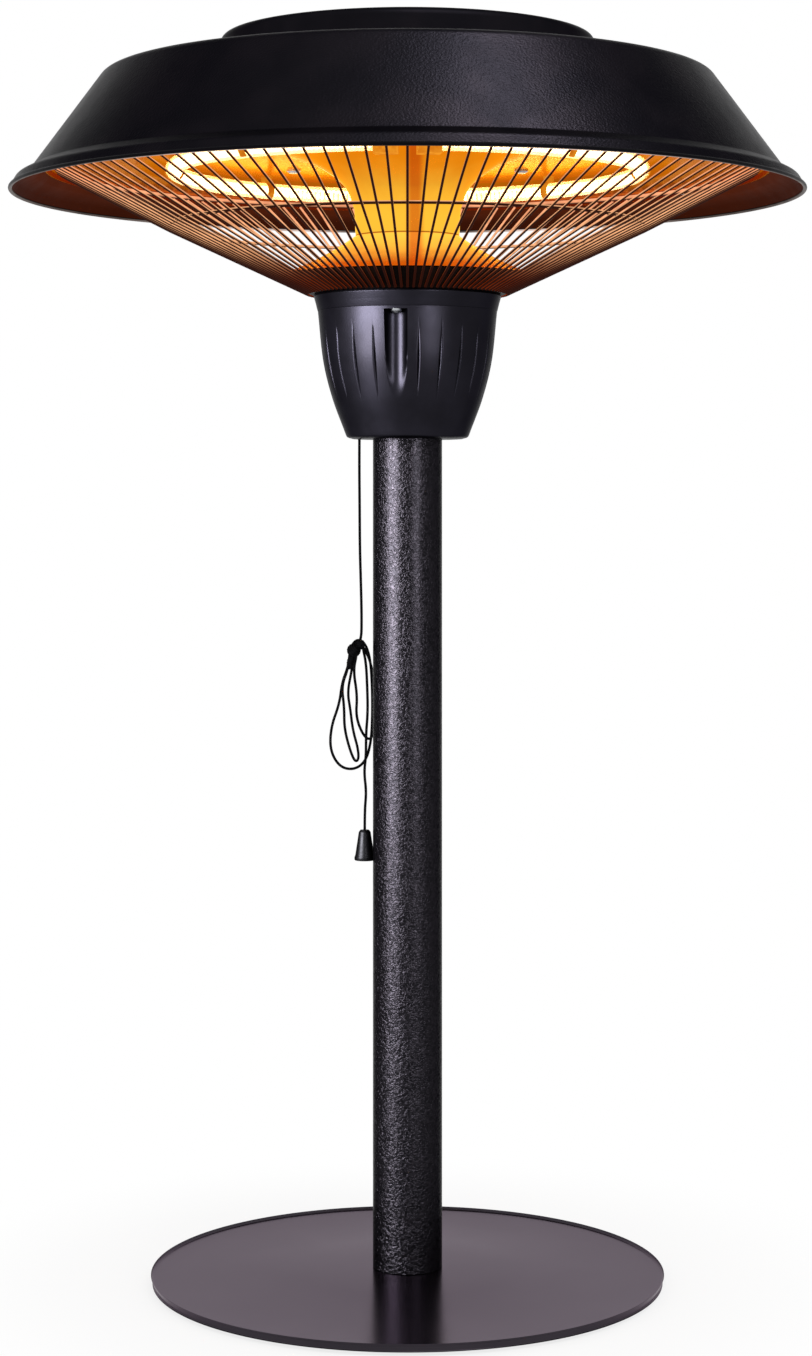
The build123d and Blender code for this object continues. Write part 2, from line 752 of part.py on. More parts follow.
def make_cap_screws():
    """Screws up through the shade's top into the cap's brackets."""
    x, y = polar(CAP_SCREW_RING_R, 0)
    head_h = 2.0
    screw = Pos(x, y, SHADE_TOP - SHADE_T - head_h) * pan_head_screw(3.6, head_h, 1.95, 4.0)
    return around(screw, 3, 30)


def main():
    """Builds and writes every node."""
    os.makedirs("parts", exist_ok=True)
    pad = rod(FOOT_R, 0, FOOT_H, *polar(FOOT_RING_R, 0))
    save("foot_pads", *around(pad, 6, 90))
    save("base_plate", make_base())
    save("base_screws", *around(base_screw_shape(), 3))
    save("pole_foot_plug", make_pole_plug())
    save("pole", make_pole())
    save("cord_outlet_grommet", make_outlet_grommet())

    save("housing_body", make_housing())
    save("housing_top_cover", make_top_cover())
    save("housing_screws", *make_housing_screws())
    save("pole_socket", make_pole_socket())
    save("socket_screws", *around(socket_screw_shape(), 3, SOCKET_SCREW_START))
    save("tie_rods", *make_tie_rods())
    save("tie_rod_nuts", *make_rod_nuts())
    save("core_tube", make_core_tube())
    save("terminal_block", make_terminal_block())
    save("tip_over_switch", make_tilt_switch())

    save("pull_switch_body", make_switch_body())
    save("switch_plunger", make_plunger())
    save("switch_return_spring", make_return_spring())
    save("cord_guide_bush", make_guide_bush())

    upper, _ = cord_tube("upper", UPPER_ROUTE)
    save("pull_cord_upper", upper)
    save("pull_cord_knot", make_knot())
    hank, hank_path = cord_tube("hank", HANK_ROUTE)
    print("hank least gap", round(least_gap(hank_path), 2))
    save("pull_cord_hank", hank)
    tail, _ = cord_tube("tail", TAIL_ROUTE)
    save("pull_cord_tail", tail)
    save("pull_knob", make_knob())

    save("guard_wires", *make_wires())
    save("guard_middle_ring", guard_ring(GUARD_BEND_R - 1.0, GUARD_SLOPE_IN, MID_RING_R))
    save("guard_outer_ring", guard_ring(GUARD_END_R - 0.8, GUARD_SLOPE_OUT, OUTER_RING_R))
    save("guard_hub", make_hub())
    save("guard_clips", *make_guard_clips())

    save("lower_reflector_cone", make_lower_cone())
    save("reflector_column", make_column())
    save("reflector_dish", make_reflector())
    save("lamp_right", make_lamp(1))
    save("lamp_left", make_lamp(-1))
    save("lamp_end_caps", *make_end_caps())
    save("lamp_end_brackets", *make_end_brackets())
    save("lamp_clips", *make_lamp_clips())
    save("reflector_spacers", *make_spacers())
    save("spacer_screws", *make_spacer_screws())
    save("thermal_cutout", make_thermal_cutout())

    save("shade", make_shade())
    save("top_cap", make_cap())
    save("cap_brackets", *make_cap_brackets())
    save("cap_screws", *make_cap_screws())


main()
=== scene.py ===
"""Look of the tabletop patio heater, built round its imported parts.

Metres, in the parts' own frame: the floor at zero, +Z up, the heater's front towards -Y.
"""

import math

import bmesh
import bpy
import numpy as np
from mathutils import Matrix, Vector


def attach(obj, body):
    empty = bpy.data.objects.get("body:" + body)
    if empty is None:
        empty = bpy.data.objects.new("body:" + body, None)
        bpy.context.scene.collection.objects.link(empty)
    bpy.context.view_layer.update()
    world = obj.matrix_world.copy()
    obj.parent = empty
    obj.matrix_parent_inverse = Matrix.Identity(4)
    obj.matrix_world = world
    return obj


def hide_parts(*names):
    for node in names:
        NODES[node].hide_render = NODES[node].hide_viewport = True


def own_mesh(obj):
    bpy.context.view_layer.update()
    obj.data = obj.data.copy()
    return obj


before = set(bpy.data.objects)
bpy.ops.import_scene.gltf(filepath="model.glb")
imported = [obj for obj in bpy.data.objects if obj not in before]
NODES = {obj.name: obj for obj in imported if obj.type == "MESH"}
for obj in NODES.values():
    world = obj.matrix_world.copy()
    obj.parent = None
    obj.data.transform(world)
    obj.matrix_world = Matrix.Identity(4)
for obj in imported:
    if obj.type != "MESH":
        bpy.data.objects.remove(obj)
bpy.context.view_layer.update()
MM = 0.001

# Camera: level, in front of the heater, fitted to the photograph's ellipses
PHOTO_SIZE = (812, 1356)
FOCAL_PIXELS = 2844.0
HORIZON_PIXEL = 505.0
AXIS_PIXEL = 407.5
CAMERA_PLACE = (0.0, -1.5614, 0.4258)
SENSOR = 36.0

# Base and pole, millimetres
BASE_R = 140.3
BASE_LOW, BASE_TOP = 2.0, 8.0
POLE_R, POLE_BORE_R = 19.0, 17.5
POLE_TOP, POLE_FOOT_EASE, POLE_CLEARANCE = 524.5, 0.3, 0.2

# Housing
HOUSING_BOTTOM, HOUSING_JOINT, HOUSING_TOP = 462.0, 532.0, 541.4
HOUSING_SIDE = [(34.3, 465.5), (41.3, 484.5), (46.3, 505.0), (49.2, HOUSING_JOINT)]
HOUSING_FLAT_R, HOUSING_FOOT, HOUSING_FOOT_ROUND = 30.0, (33.3, HOUSING_BOTTOM + 0.9), 2.0
HOUSING_WALL, HOUSING_FLOOR_TOP = 2.5, HOUSING_BOTTOM + 5.5
COVER_R, COVER_BORE_R, COVER_PLUG_R, COVER_HOLLOW_R = 51.4, 22.0, 31.0, 41.0
COVER_LOW, COVER_CEILING = 528.0, 538.0
COVER_SIDE = [(49.3, HOUSING_JOINT), (50.3, 536.0), (COVER_R, 540.0)]
FLUTE_R, FLUTE_RING_R = 6.0, 48.0
FLUTE_FLOOR, FLUTE_ROOF = 480.0, 530.5
FLUTE_FRONT_ANGLE, FLUTE_COUNT = -7.5, 3
GROOVE_PITCH = 15.0
GROOVE_TOP, GROOVE_LOW = (48.9, 524.0), (42.0, 487.0)
GROOVE_HALF_ANGLE = 32.0
FLUTE_SOFTNESS, GROOVE_SOFTNESS = 1.4, 0.9
BUSH_PLACE, BUSH_R = (-26.5, 8.0), 2.25

# Guard
WIRE_COUNT, WIRE_R = 108, 0.69
HUB_FOOT, HUB_R, HUB_T = (53.3, HOUSING_TOP), 72.7, 1.0
GUARD_SLOPE_IN, GUARD_SLOPE_OUT = 0.4654, 0.51
GUARD_START_R, GUARD_BEND_R, GUARD_END_R = 54.5, 132.0, 192.6
MID_RING_R, OUTER_RING_R = 0.9, 1.25
# Name, radius where it lies on the wires, slope of the wires there, radius of its wire
GUARD_RINGS = (
    ("guard_middle_ring", GUARD_BEND_R - 1.0, GUARD_SLOPE_IN, MID_RING_R),
    ("guard_outer_ring", GUARD_END_R - 0.8, GUARD_SLOPE_OUT, OUTER_RING_R),
)
BEAD_R, BEAD_FLATNESS = 0.85, 0.7
CONE_FOOT, CONE_MIDDLE = (70.0, 551.5), (48.0, 561.2)
DISH_BORE_R, DISH_CEILING_R, DISH_STEP_R = 60.0, 139.0, 149.0

# Lamp head
LAMP_Z, LAMP_RING_R, LAMP_R, LAMP_END_ANGLE = 609.0, 128.0, 4.5, 7.6
COIL_TURNS, COIL_STEPS, COIL_R, COIL_WIRE_R = 130, 10, 2.4, 0.7
CEILING_Z = 617.5
REFLECTOR_RIM_Z, REFLECTOR_LIP_R, REFLECTOR_LIP_Z = 611.0, 197.0, 607.6
SHEET_T = 0.8
COLUMN_R, COLUMN_BOTTOM, COLUMN_T = 28.5, 573.3, 0.6
GAP_MIDDLE = 4.0
TRUMPET = [(29.2, 588.0), (33.0, 598.2), (40.5, 606.2), (52.0, 613.0), (64.0, CEILING_Z - COLUMN_T)]

# Shade and cap
SHADE_T, SHADE_TOP, SHADE_SHOULDER_R = 1.0, 660.4, 165.9
SHADE_CREASE, SHADE_FLARE, SHADE_RIM = (205.5, 606.5), (213.2, 602.6), (216.5, 597.0)
HEM_R = 1.1
CAP_R, CAP_TOP = 102.6, 682.0

# Pull switch's spring
SPRING_SEAT, SPRING_TOP, SPRING_R, SPRING_WIRE_R, SPRING_TURNS = 501.0, 516.0, 2.1, 0.25, 5

# Pull cord
CORD_R = 0.75
CORD_START = (-26.5, 8.0, 490.0)
KNOB_PLACE, KNOB_TOP, KNOB_H = (-23.6, 8.0), 246.6, 16.8
CORD_ROUTE = [
    CORD_START, (-26.5, 8.0, 470.0), (-26.6, 8.0, 446.0),
    (-26.4, 8.1, 424.0), (-26.3, 8.1, 402.0), (-25.7, 8.2, 382.0),
    (-25.3, 8.4, 364.0), (-25.5, 8.5, 350.6), (-29.0, 10.6, 349.5),
    (-31.6, 10.8, 343.0), (-33.2, 10.8, 335.5), (-36.2, 10.3, 327.5),
    (-37.6, 9.8, 316.0), (-42.2, 9.6, 303.5), (-42.9, 9.8, 290.5),
    (-37.6, 10.4, 281.0), (-29.6, 11.0, 279.3), (-23.0, 11.4, 284.0),
    (-20.0, 11.6, 295.5), (-19.4, 11.6, 311.0), (-19.6, 11.5, 327.0),
    (-20.6, 11.2, 341.0), (-23.4, 10.8, 349.6), (-28.2, 9.2, 352.0),
    (-31.8, 8.2, 346.5), (-32.6, 7.8, 336.0), (-36.4, 7.4, 326.0),
    (-34.9, 7.4, 314.5), (-34.9, 7.6, 303.0), (-32.2, 7.8, 292.0),
    (-29.2, 8.0, 284.2), (-27.0, 8.2, 285.0), (-27.2, 8.4, 291.0),
    (-30.2, 9.0, 301.5), (-31.6, 9.6, 313.0), (-33.2, 10.0, 322.5),
    (-30.8, 10.0, 334.5), (-29.6, 9.8, 344.0), (-28.4, 8.2, 347.2),
    (-28.0, 6.8, 343.2), (-29.9, 7.2, 334.5), (-27.7, 9.6, 320.5),
    (-28.6, 11.6, 309.0), (-25.0, 13.0, 299.0), (-21.0, 13.8, 295.3),
    (-18.4, 14.2, 300.0), (-17.6, 14.4, 313.0), (-18.4, 14.2, 328.0),
    (-20.6, 13.6, 339.5), (-24.0, 12.8, 346.5), (-24.8, 8.4, 347.6),
    (-22.9, 8.0, 339.0), (-22.2, 8.0, 325.5), (-21.9, 8.0, 311.5),
    (-22.9, 8.0, 299.5), (-22.9, 8.0, 287.0), (-24.0, 8.0, 278.5),
    (-22.7, 8.0, 267.5), (-23.6, 8.0, 257.5), (-23.6, 8.0, KNOB_TOP),
]
# Centre, radius, stretch and lean in degrees of each lobe of the knot
KNOT_LOBES = [
    ((-29.6, 9.3, 345.6), 3.9, 1.0, 50),
    ((-26.3, 9.4, 348.8), 3.0, 1.0, -40),
    ((-31.2, 9.3, 339.6), 2.3, 2.1, 14),
]

# How finely things are divided
ROUND_STEPS, POLE_STEPS, KNOB_STEPS, RING_STEPS = 288, 192, 64, 432
LAMP_STEPS, SPRING_TURN_STEPS, BALL_STEPS = 96, 24, 44
HOUSING_ROWS, HOUSING_PLACE_COLUMNS = 120, 36
LAMP_SIDES, COIL_SIDES, WIRE_SIDES, RING_SIDES, SPRING_SIDES, HEM_SIDES = 20, 6, 10, 12, 8, 14
SHARP_ANGLE, HOUSING_SHARP_ANGLE = math.radians(40), math.radians(32)

# Lights: name, place, aim, size, watts, and the pieces that it is a highlight for, if only for some
UPRIGHT_PIECES = ("pole_tube", "housing_shell", "housing_lid", "pull_knob_bell")
LIGHTS = (
    ("key", (0.5, -1.2, 2.2), (0, 0, 0.3), (1.5, 1.5), 16, ()),
    ("left box", (-1.55, -1.30, 0.85), (0, 0, 0.42), (1.2, 1.6), 360, UPRIGHT_PIECES),
    ("right box", (1.05, -1.80, 0.85), (0, 0, 0.45), (0.6, 1.4), 55, UPRIGHT_PIECES),
    ("overhead box", (0.44, -0.30, 1.9), (0.05, -0.1, 0.6), (0.34, 0.5), 10.5, ("shade_shell",)),
)
# The world's strength as light on the object, and as it is seen and mirrored
AMBIENT_LEVEL, SEEN_LEVEL = 0.75, 1.0
# The floor's reach, the radii between which it fades into the background, and its share of white
FLOOR_REACH, FLOOR_FADE, FLOOR_WHITE = 6.0, (0.13, 0.30), (0.80, 1.0)
# The edge tint that keeps a dark mirror from turning white at a slant
EVEN_EDGE = (0.47, 0.47, 0.47, 1.0)


# Colours are written as sRGB hex and turned into the linear values that the nodes take
def linear(hex_colour):
    """The linear RGBA of an sRGB colour such as 1a191e."""
    parts = [int(hex_colour[i:i + 2], 16) / 255 for i in (0, 2, 4)]
    return [p / 12.92 if p <= 0.04045 else ((p + 0.055) / 1.055) ** 2.4 for p in parts] + [1.0]


# Node helpers
class Finish:
    """A node material under construction: one principled shader fed by object-space textures."""

    def __init__(self, name):
        self.material = bpy.data.materials.new(name)
        self.material.use_nodes = True
        self.tree = self.material.node_tree
        self.shader = self.tree.nodes["Principled BSDF"]
        self.place = self.node("ShaderNodeTexCoord").outputs["Object"]

    def node(self, kind, **settings):
        made = self.tree.nodes.new(kind)
        for key, value in settings.items():
            setattr(made, key, value)
        return made

    def join(self, source, target):
        self.tree.links.new(source, target)

    def noise(self, size_mm, detail=3.0, distortion=0.0, stretch=(1, 1, 1)):
        """Noise whose grains are about size_mm across."""
        mapping = self.node("ShaderNodeMapping")
        mapping.inputs["Scale"].default_value = stretch
        self.join(self.place, mapping.inputs["Vector"])
        texture = self.node("ShaderNodeTexNoise")
        texture.inputs["Scale"].default_value = 1 / (size_mm * MM)
        texture.inputs["Detail"].default_value = detail
        texture.inputs["Distortion"].default_value = distortion
        self.join(mapping.outputs[0], texture.inputs["Vector"])
        return texture.outputs["Fac"]

    def cells(self, size_mm, wobble=0.0):
        """Rounded cells about size_mm across, their lines bent by wobble."""
        texture = self.node("ShaderNodeTexVoronoi", feature="SMOOTH_F1")
        texture.inputs["Scale"].default_value = 1 / (size_mm * MM)
        place = self.place
        if wobble:
            swirl = self.node("ShaderNodeTexNoise")
            swirl.inputs["Scale"].default_value = 0.7 / (size_mm * MM)
            self.join(self.place, swirl.inputs["Vector"])
            reach = (wobble * size_mm * MM,) * 3
            place = self.vectors("MULTIPLY_ADD", swirl.outputs["Color"], reach, self.place).outputs[0]
        self.join(place, texture.inputs["Vector"])
        return texture.outputs["Distance"]

    def span(self, value, low, high, to_low, to_high):
        """The value's span low to high carried to another span, and held at its ends."""
        ranged = self.node("ShaderNodeMapRange", interpolation_type="SMOOTHSTEP")
        ranged.inputs["From Min"].default_value = low
        ranged.inputs["From Max"].default_value = high
        ranged.inputs["To Min"].default_value = to_low
        ranged.inputs["To Max"].default_value = to_high
        self.join(value, ranged.inputs["Value"])
        return ranged.outputs["Result"]

    def blend(self, factor, first, second):
        """A colour between two, each a hex colour or another node's output."""
        mix = self.node("ShaderNodeMix", data_type="RGBA")
        self.join(factor, mix.inputs["Factor"])
        for colour, socket in ((first, mix.inputs[6]), (second, mix.inputs[7])):
            if isinstance(colour, str):
                socket.default_value = linear(colour)
            else:
                self.join(colour, socket)
        return mix.outputs[2]

    def maths(self, operation, first, second=0):
        """One arithmetic step on values or outputs."""
        step = self.node("ShaderNodeMath", operation=operation)
        for value, socket in ((first, step.inputs[0]), (second, step.inputs[1])):
            if isinstance(value, (int, float)):
                socket.default_value = value
            else:
                self.join(value, socket)
        return step.outputs[0]

    def vectors(self, operation, *values):
        """One step on vectors, each a tuple or another node's output."""
        step = self.node("ShaderNodeVectorMath", operation=operation)
        for value, socket in zip(values, step.inputs):
            if isinstance(value, tuple):
                socket.default_value = value
            else:
                self.join(value, socket)
        return step

    def bump(self, height, depth_mm, under=None):
        """A bump of a real depth, laid over another one where under is given."""
        made = self.node("ShaderNodeBump")
        made.inputs["Strength"].default_value = 1.0
        made.inputs["Distance"].default_value = depth_mm * MM
        self.join(height, made.inputs["Height"])
        if under is not None:
            self.join(under, made.inputs["Normal"])
        return made.outputs["Normal"]

    def roughen(self, texture, low, high):
        """The shader's roughness between two values, by a noise's middle span."""
        self.feed("Roughness", self.span(texture, 0.3, 0.7, low, high))

    def radius_and_height(self):
        """The distance from the heater's axis and the height, both in metres."""
        parts = self.node("ShaderNodeSeparateXYZ")
        self.join(self.place, parts.inputs[0])
        flat = self.vectors("MULTIPLY", self.place, (1, 1, 0))
        return self.vectors("LENGTH", flat.outputs[0]).outputs["Value"], parts.outputs["Z"]

    def across(self):
        """The place along X, in metres."""
        parts = self.node("ShaderNodeSeparateXYZ")
        self.join(self.place, parts.inputs[0])
        return parts.outputs["X"]

    def facing(self, inward, upward):
        """How far the surface turns to a direction given by its inward and upward shares."""
        normal = self.node("ShaderNodeTexCoord").outputs["Normal"]
        outward = self.vectors("MULTIPLY", self.place, (1, 1, 0))
        unit = self.vectors("NORMALIZE", outward.outputs[0])
        turned = self.vectors("MULTIPLY_ADD", unit.outputs[0], (-inward, -inward, 0), (0, 0, upward))
        return self.vectors("DOT_PRODUCT", normal, turned.outputs[0]).outputs["Value"]

    def set(self, **inputs):
        """Constants on the shader's own sockets, named with underscores."""
        for key, value in inputs.items():
            self.shader.inputs[key.replace("_", " ")].default_value = value

    def feed(self, name, output):
        """A texture's output on one of the shader's own sockets."""
        self.join(output, self.shader.inputs[name])


# Paints, metals and plastics
def painted(name, dark, light, patch_mm, rough, ior, grain_mm, grain_depth_mm, wobble=0.0):
    """A painted or moulded surface: patchy colour, uneven gloss and a grain of a real depth.

    With no ior the colour is that of its reflection, which stays even nearly up to the edge.
    """
    finish = Finish(name)
    patch = finish.span(finish.noise(patch_mm), 0.35, 0.65, 0.0, 1.0)
    finish.feed("Base Color", finish.blend(patch, dark, light))
    smear = finish.noise(patch_mm * 0.4, 5.0)
    finish.roughen(smear, *rough)
    grain = finish.cells(grain_mm, wobble=wobble)
    fine = finish.bump(finish.noise(grain_mm * 0.35, 2.0), grain_depth_mm * 0.35)
    finish.feed("Normal", finish.bump(grain, grain_depth_mm, under=fine))
    if ior:
        finish.set(IOR=ior)
    else:
        finish.set(Metallic=1.0, Specular_Tint=EVEN_EDGE)
    return finish.material


def hammered(name):
    """The pole's hammered paint: fine worm-like ridges."""
    finish = Finish(name)
    worms = finish.noise(1.9, 2.0, 0.8)
    folded = finish.maths("ABSOLUTE", finish.maths("SUBTRACT", worms, 0.5))
    ridge = finish.span(folded, 0.0, 0.12, 1.0, 0.0)
    finish.feed("Base Color", finish.blend(ridge, "151417", "201e22"))
    finish.roughen(finish.noise(6, 4.0), 0.21, 0.27)
    finish.feed("Normal", finish.bump(ridge, 0.08))
    finish.set(Metallic=1.0, Specular_Tint=EVEN_EDGE)
    return finish.material


def satin_plate(name):
    """The base's smooth mauve-grey paint, softly mirroring what stands on it."""
    finish = Finish(name)
    patch = finish.span(finish.noise(60), 0.35, 0.65, 0.0, 1.0)
    finish.feed("Base Color", finish.blend(patch, "343036", "38343a"))
    finish.roughen(finish.noise(30, 2.0), 0.20, 0.23)
    finish.feed("Normal", finish.bump(finish.noise(1.2, 2.0), 0.006))
    finish.set(Metallic=1.0, Specular_Tint=(0.725, 0.664, 0.717, 1.0))
    return finish.material


def painted_lamplight_fitting(name, dark, light, cool, warm):
    """A fitting beside the lamps, with their amber light painted on it as a glow."""
    finish = Finish(name)
    patch = finish.span(finish.noise(6), 0.3, 0.7, 0.0, 1.0)
    finish.feed("Base Color", finish.blend(patch, dark, light))
    # Painted lamplight: the emission stands in for the lamps' amber light falling on the fitting
    finish.feed("Emission Color", finish.blend(patch, cool, warm))
    finish.roughen(finish.noise(2, 3.0), 0.45, 0.6)
    finish.feed("Normal", finish.bump(finish.noise(0.8, 2.0), 0.02))
    finish.set(IOR=1.06, Emission_Strength=0.9)
    return finish.material


def lamp_lit_wire(name):
    """The guard's black wire, with the lamps' orange light painted on as a glow on the sides that face in
    and up to them, and a faint painted red glow on the others.
    """
    finish = Finish(name)
    lit = finish.span(finish.facing(0.5, 0.86), -0.55, 0.5, 0.0, 1.0)
    # Painted lamplight, dim near the hub and brighter out towards the rim
    radius, _ = finish.radius_and_height()
    inner = finish.blend(finish.span(radius, 62 * MM, 118 * MM, 0, 1), "6a2408", "ffb884")
    along = finish.blend(finish.span(radius, 140 * MM, 190 * MM, 0, 1), inner, "ffa878")
    uneven = finish.span(finish.noise(9, 3.0), 0.3, 0.7, 0.7, 1.0)
    finish.feed("Emission Color", finish.blend(finish.maths("MULTIPLY", lit, uneven), "240a05", along))
    finish.feed("Base Color", finish.blend(finish.noise(12), "0a0605", "140a07"))
    finish.roughen(finish.noise(5, 4.0), 0.4, 0.55)
    finish.feed("Normal", finish.bump(finish.noise(0.8, 3.0), 0.02))
    finish.set(IOR=1.06, Emission_Strength=1.2)
    return finish.material


def lamp_lit_hem(name):
    """The shade's rolled hem: black outside, with a painted highlight of the lamps' light underneath at
    both sides.
    """
    finish = Finish(name)
    under = finish.span(finish.facing(0.42, -0.9), 0.25, 0.8, 0.0, 1.0)
    off_middle = finish.maths("ABSOLUTE", finish.across())
    near = finish.span(off_middle, 25 * MM, 70 * MM, 0.05, 1.0)
    far = finish.span(off_middle, 90 * MM, 175 * MM, 1.0, 0.1)
    patch = finish.span(finish.noise(16, 3.0), 0.3, 0.7, 0.6, 1.0)
    beside_lamps = finish.maths("MULTIPLY", near, far)
    share = finish.maths("MULTIPLY", beside_lamps, finish.maths("MULTIPLY", under, patch))
    finish.feed("Emission Color", finish.blend(share, "000000", "f2d8cc"))
    finish.feed("Base Color", finish.blend(finish.noise(30), "09080b", "0e0d11"))
    finish.roughen(finish.noise(9, 4.0), 0.32, 0.38)
    finish.feed("Normal", finish.bump(finish.cells(1.1), 0.05))
    finish.set(IOR=1.08, Emission_Strength=1.0)
    return finish.material


def painted_lamplight_inside(name):
    """The shade's inside: dark paint with the lamps' copper-brown light painted on as a glow, dimmer
    towards the rim.
    """
    finish = Finish(name)
    radius, _ = finish.radius_and_height()
    patch = finish.span(finish.noise(35), 0.3, 0.7, 0.0, 0.5)
    warm = finish.blend(finish.span(radius, 196 * MM, 216 * MM, 0, 1), "5a220c", "2e0e05")
    finish.feed("Emission Color", finish.blend(patch, warm, "3a1407"))
    finish.feed("Base Color", finish.blend(finish.noise(30), "140602", "260c04"))
    finish.roughen(finish.noise(12, 4.0), 0.5, 0.62)
    finish.feed("Normal", finish.bump(finish.cells(1.5), 0.06))
    finish.set(IOR=1.04, Emission_Strength=0.85)
    return finish.material


def brushed_metal(name, dark, light, rough):
    """Plated steel with fine drawn lines and slight cloudiness."""
    finish = Finish(name)
    lines = finish.noise(0.25, 3.0, stretch=(1, 1, 12))
    finish.feed("Base Color", finish.blend(finish.span(finish.noise(4), 0.3, 0.7, 0, 1), dark, light))
    finish.roughen(lines, rough - 0.08, rough + 0.1)
    finish.feed("Normal", finish.bump(lines, 0.01))
    finish.set(Metallic=1.0)
    return finish.material


def polished_glow(name, way, low, high, start, end, strength, base, gap=0.0):
    """Polished sheet with the lamps' light painted on as a glow, running from a start to an end colour
    along a span.

    way is radius or height, and low and high are where the span starts and ends, millimetres.
    gap paints shade on the front and back, where the lamps' ends leave a break in the light, by that
    share, and a painted shadow line at the joint of column and lower cone.
    """
    finish = Finish(name)
    radius, height = finish.radius_and_height()
    ripple = finish.maths("MULTIPLY", finish.maths("SUBTRACT", finish.noise(14, 3.0), 0.5), 0.012)
    place = finish.maths("ADD", radius if way == "radius" else height, ripple)
    glow = finish.blend(finish.span(place, low * MM, high * MM, 0, 1), start, end)
    if gap:
        from_gap = finish.maths("SUBTRACT", finish.across(), GAP_MIDDLE * MM)
        dimmed = finish.span(finish.maths("ABSOLUTE", from_gap), 1.5 * MM, 6.0 * MM, gap, 0.0)
        glow = finish.blend(dimmed, glow, "c04c08")
        # Painted shadow in the joint between the lower cone and the column
        from_joint = finish.maths("SUBTRACT", height, COLUMN_BOTTOM * MM)
        seam = finish.span(finish.maths("ABSOLUTE", from_joint), 0.2 * MM, 0.6 * MM, 0.85, 0.0)
        glow = finish.blend(seam, glow, "5a2004")
    lines = finish.noise(0.4, 3.0, stretch=(1, 1, 10))
    # Amber metal and edge tints: the lamps' colour painted into the reflections
    finish.set(Metallic=1.0, Emission_Strength=strength, Specular_Tint=(1.0, 0.55, 0.12, 1.0))
    finish.feed("Emission Color", glow)
    # Painted shade: the metal darkens along the same span as the glow
    painted_falloff = finish.span(place, low * MM, high * MM, 0, 0.85)
    finish.feed("Base Color", finish.blend(painted_falloff, finish.blend(lines, base, "a85c04"), "2c0e02"))
    finish.roughen(lines, 0.16, 0.3)
    finish.feed("Normal", finish.bump(finish.noise(22, 2.0), 0.25))
    return finish.material


def glowing(name, dim, bright, strength, alpha=1.0):
    """A lamp's quartz or coil, glowing a little unevenly."""
    finish = Finish(name)
    uneven = finish.noise(5, 2.0)
    finish.feed("Emission Color", finish.blend(finish.span(uneven, 0.3, 0.7, 0, 1), dim, bright))
    finish.feed("Base Color", finish.blend(uneven, "fff0c8", "ffffff"))
    finish.roughen(uneven, 0.08, 0.2)
    finish.set(Emission_Strength=strength, Alpha=alpha)
    return finish.material


FINISHES = {
    "shade": painted("shade paint", "141317", "19171b", 40, (0.32, 0.36), None, 1.1, 0.13, 0.8),
    "shade_inside": painted_lamplight_inside("shade inside paint"),
    "hem": lamp_lit_hem("hem paint"),
    "cap": painted("cap paint", "131216", "18161a", 30, (0.36, 0.42), None, 1.2, 0.03),
    "base": satin_plate("base paint"),
    "pole": hammered("pole paint"),
    "guard": lamp_lit_wire("guard paint"),
    "hub": painted("hub paint", "0c0807", "170e0a", 12, (0.42, 0.55), 1.08, 0.8, 0.02),
    "plastic": painted("housing plastic", "19181d", "1d1c22", 30, (0.32, 0.37), None, 0.7, 0.008),
    "knob": painted("knob plastic", "131315", "1a1a1c", 8, (0.34, 0.42), None, 0.6, 0.01),
    "cord": painted("cord braid", "0a0a0c", "17171a", 2.0, (0.55, 0.75), 1.1, 0.45, 0.10),
    "switch": painted("switch plastic", "1c1c20", "28282d", 12, (0.35, 0.5), 1.4, 0.6, 0.02),
    "rubber": painted("rubber", "0e0e0f", "1a1a1b", 9, (0.6, 0.75), 1.3, 0.7, 0.03),
    "ceramic": painted("ceramic", "cfc8ba", "ebe6dc", 10, (0.45, 0.6), 1.45, 0.5, 0.02),
    # The lamps' end caps, brackets and clips, with the lamps' light painted on as a glow
    "lamp_lit_ceramic": painted_lamplight_fitting("lamp-lit ceramic", "5a3410", "6e4216", "d87812", "f09c24"),
    "lamp_lit_steel": painted_lamplight_fitting("lamp-lit steel", "3a2008", "4a2a0c", "c05c0a", "e08a1a"),
    "steel": brushed_metal("plated steel", "8f9297", "c4c7cb", 0.3),
    "dark_steel": brushed_metal("dark steel", "3c3d40", "5a5c60", 0.38),
    "quartz": glowing("glowing quartz", "ff8c1e", "ffb43c", 0.9, 0.5),
    "coil": glowing("white hot coil", "ffe08c", "fff2c8", 3.4),
    # The reflectors, with the lamps' light and shade painted into their finishes
    "lower_cone": polished_glow(
        "lower cone glow", "radius", 30, 68, "f9d04a", "b04c08", 0.95, "9c5a16", 0.7
    ),
    "column": polished_glow(
        "column glow", "height", 580, 616, "f8c63c", "e8860a", 0.9, "4a2a06", 0.8
    ),
    "dish": polished_glow("dish glow", "radius", 60, 190, "ea8a0e", "6a1c05", 0.75, "a45604"),
}


# Mesh helpers
def placed(name, data):
    """A new object of the data, in the scene."""
    made = bpy.data.objects.new(name, data)
    bpy.context.scene.collection.objects.link(made)
    return made


def finished(name, mesh, finishes, body, slot, *nodes):
    """Adds a piece with its finishes, on its body, in place of the CAD nodes it stands for."""
    piece = placed(name, mesh)
    for key in finishes:
        mesh.materials.append(FINISHES[key])
    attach(piece, body)
    if nodes:
        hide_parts(*nodes)
    return piece


def mesh_of(work, name, sharp=SHARP_ANGLE):
    """A mesh of the bmesh, smooth except at its sharp edges."""
    bmesh.ops.recalc_face_normals(work, faces=work.faces)
    for face in work.faces:
        face.smooth = True
    for edge in work.edges:
        if len(edge.link_faces) == 2:
            edge.smooth = edge.calc_face_angle(0) < sharp
    mesh = bpy.data.meshes.new(name)
    work.to_mesh(mesh)
    work.free()
    return mesh


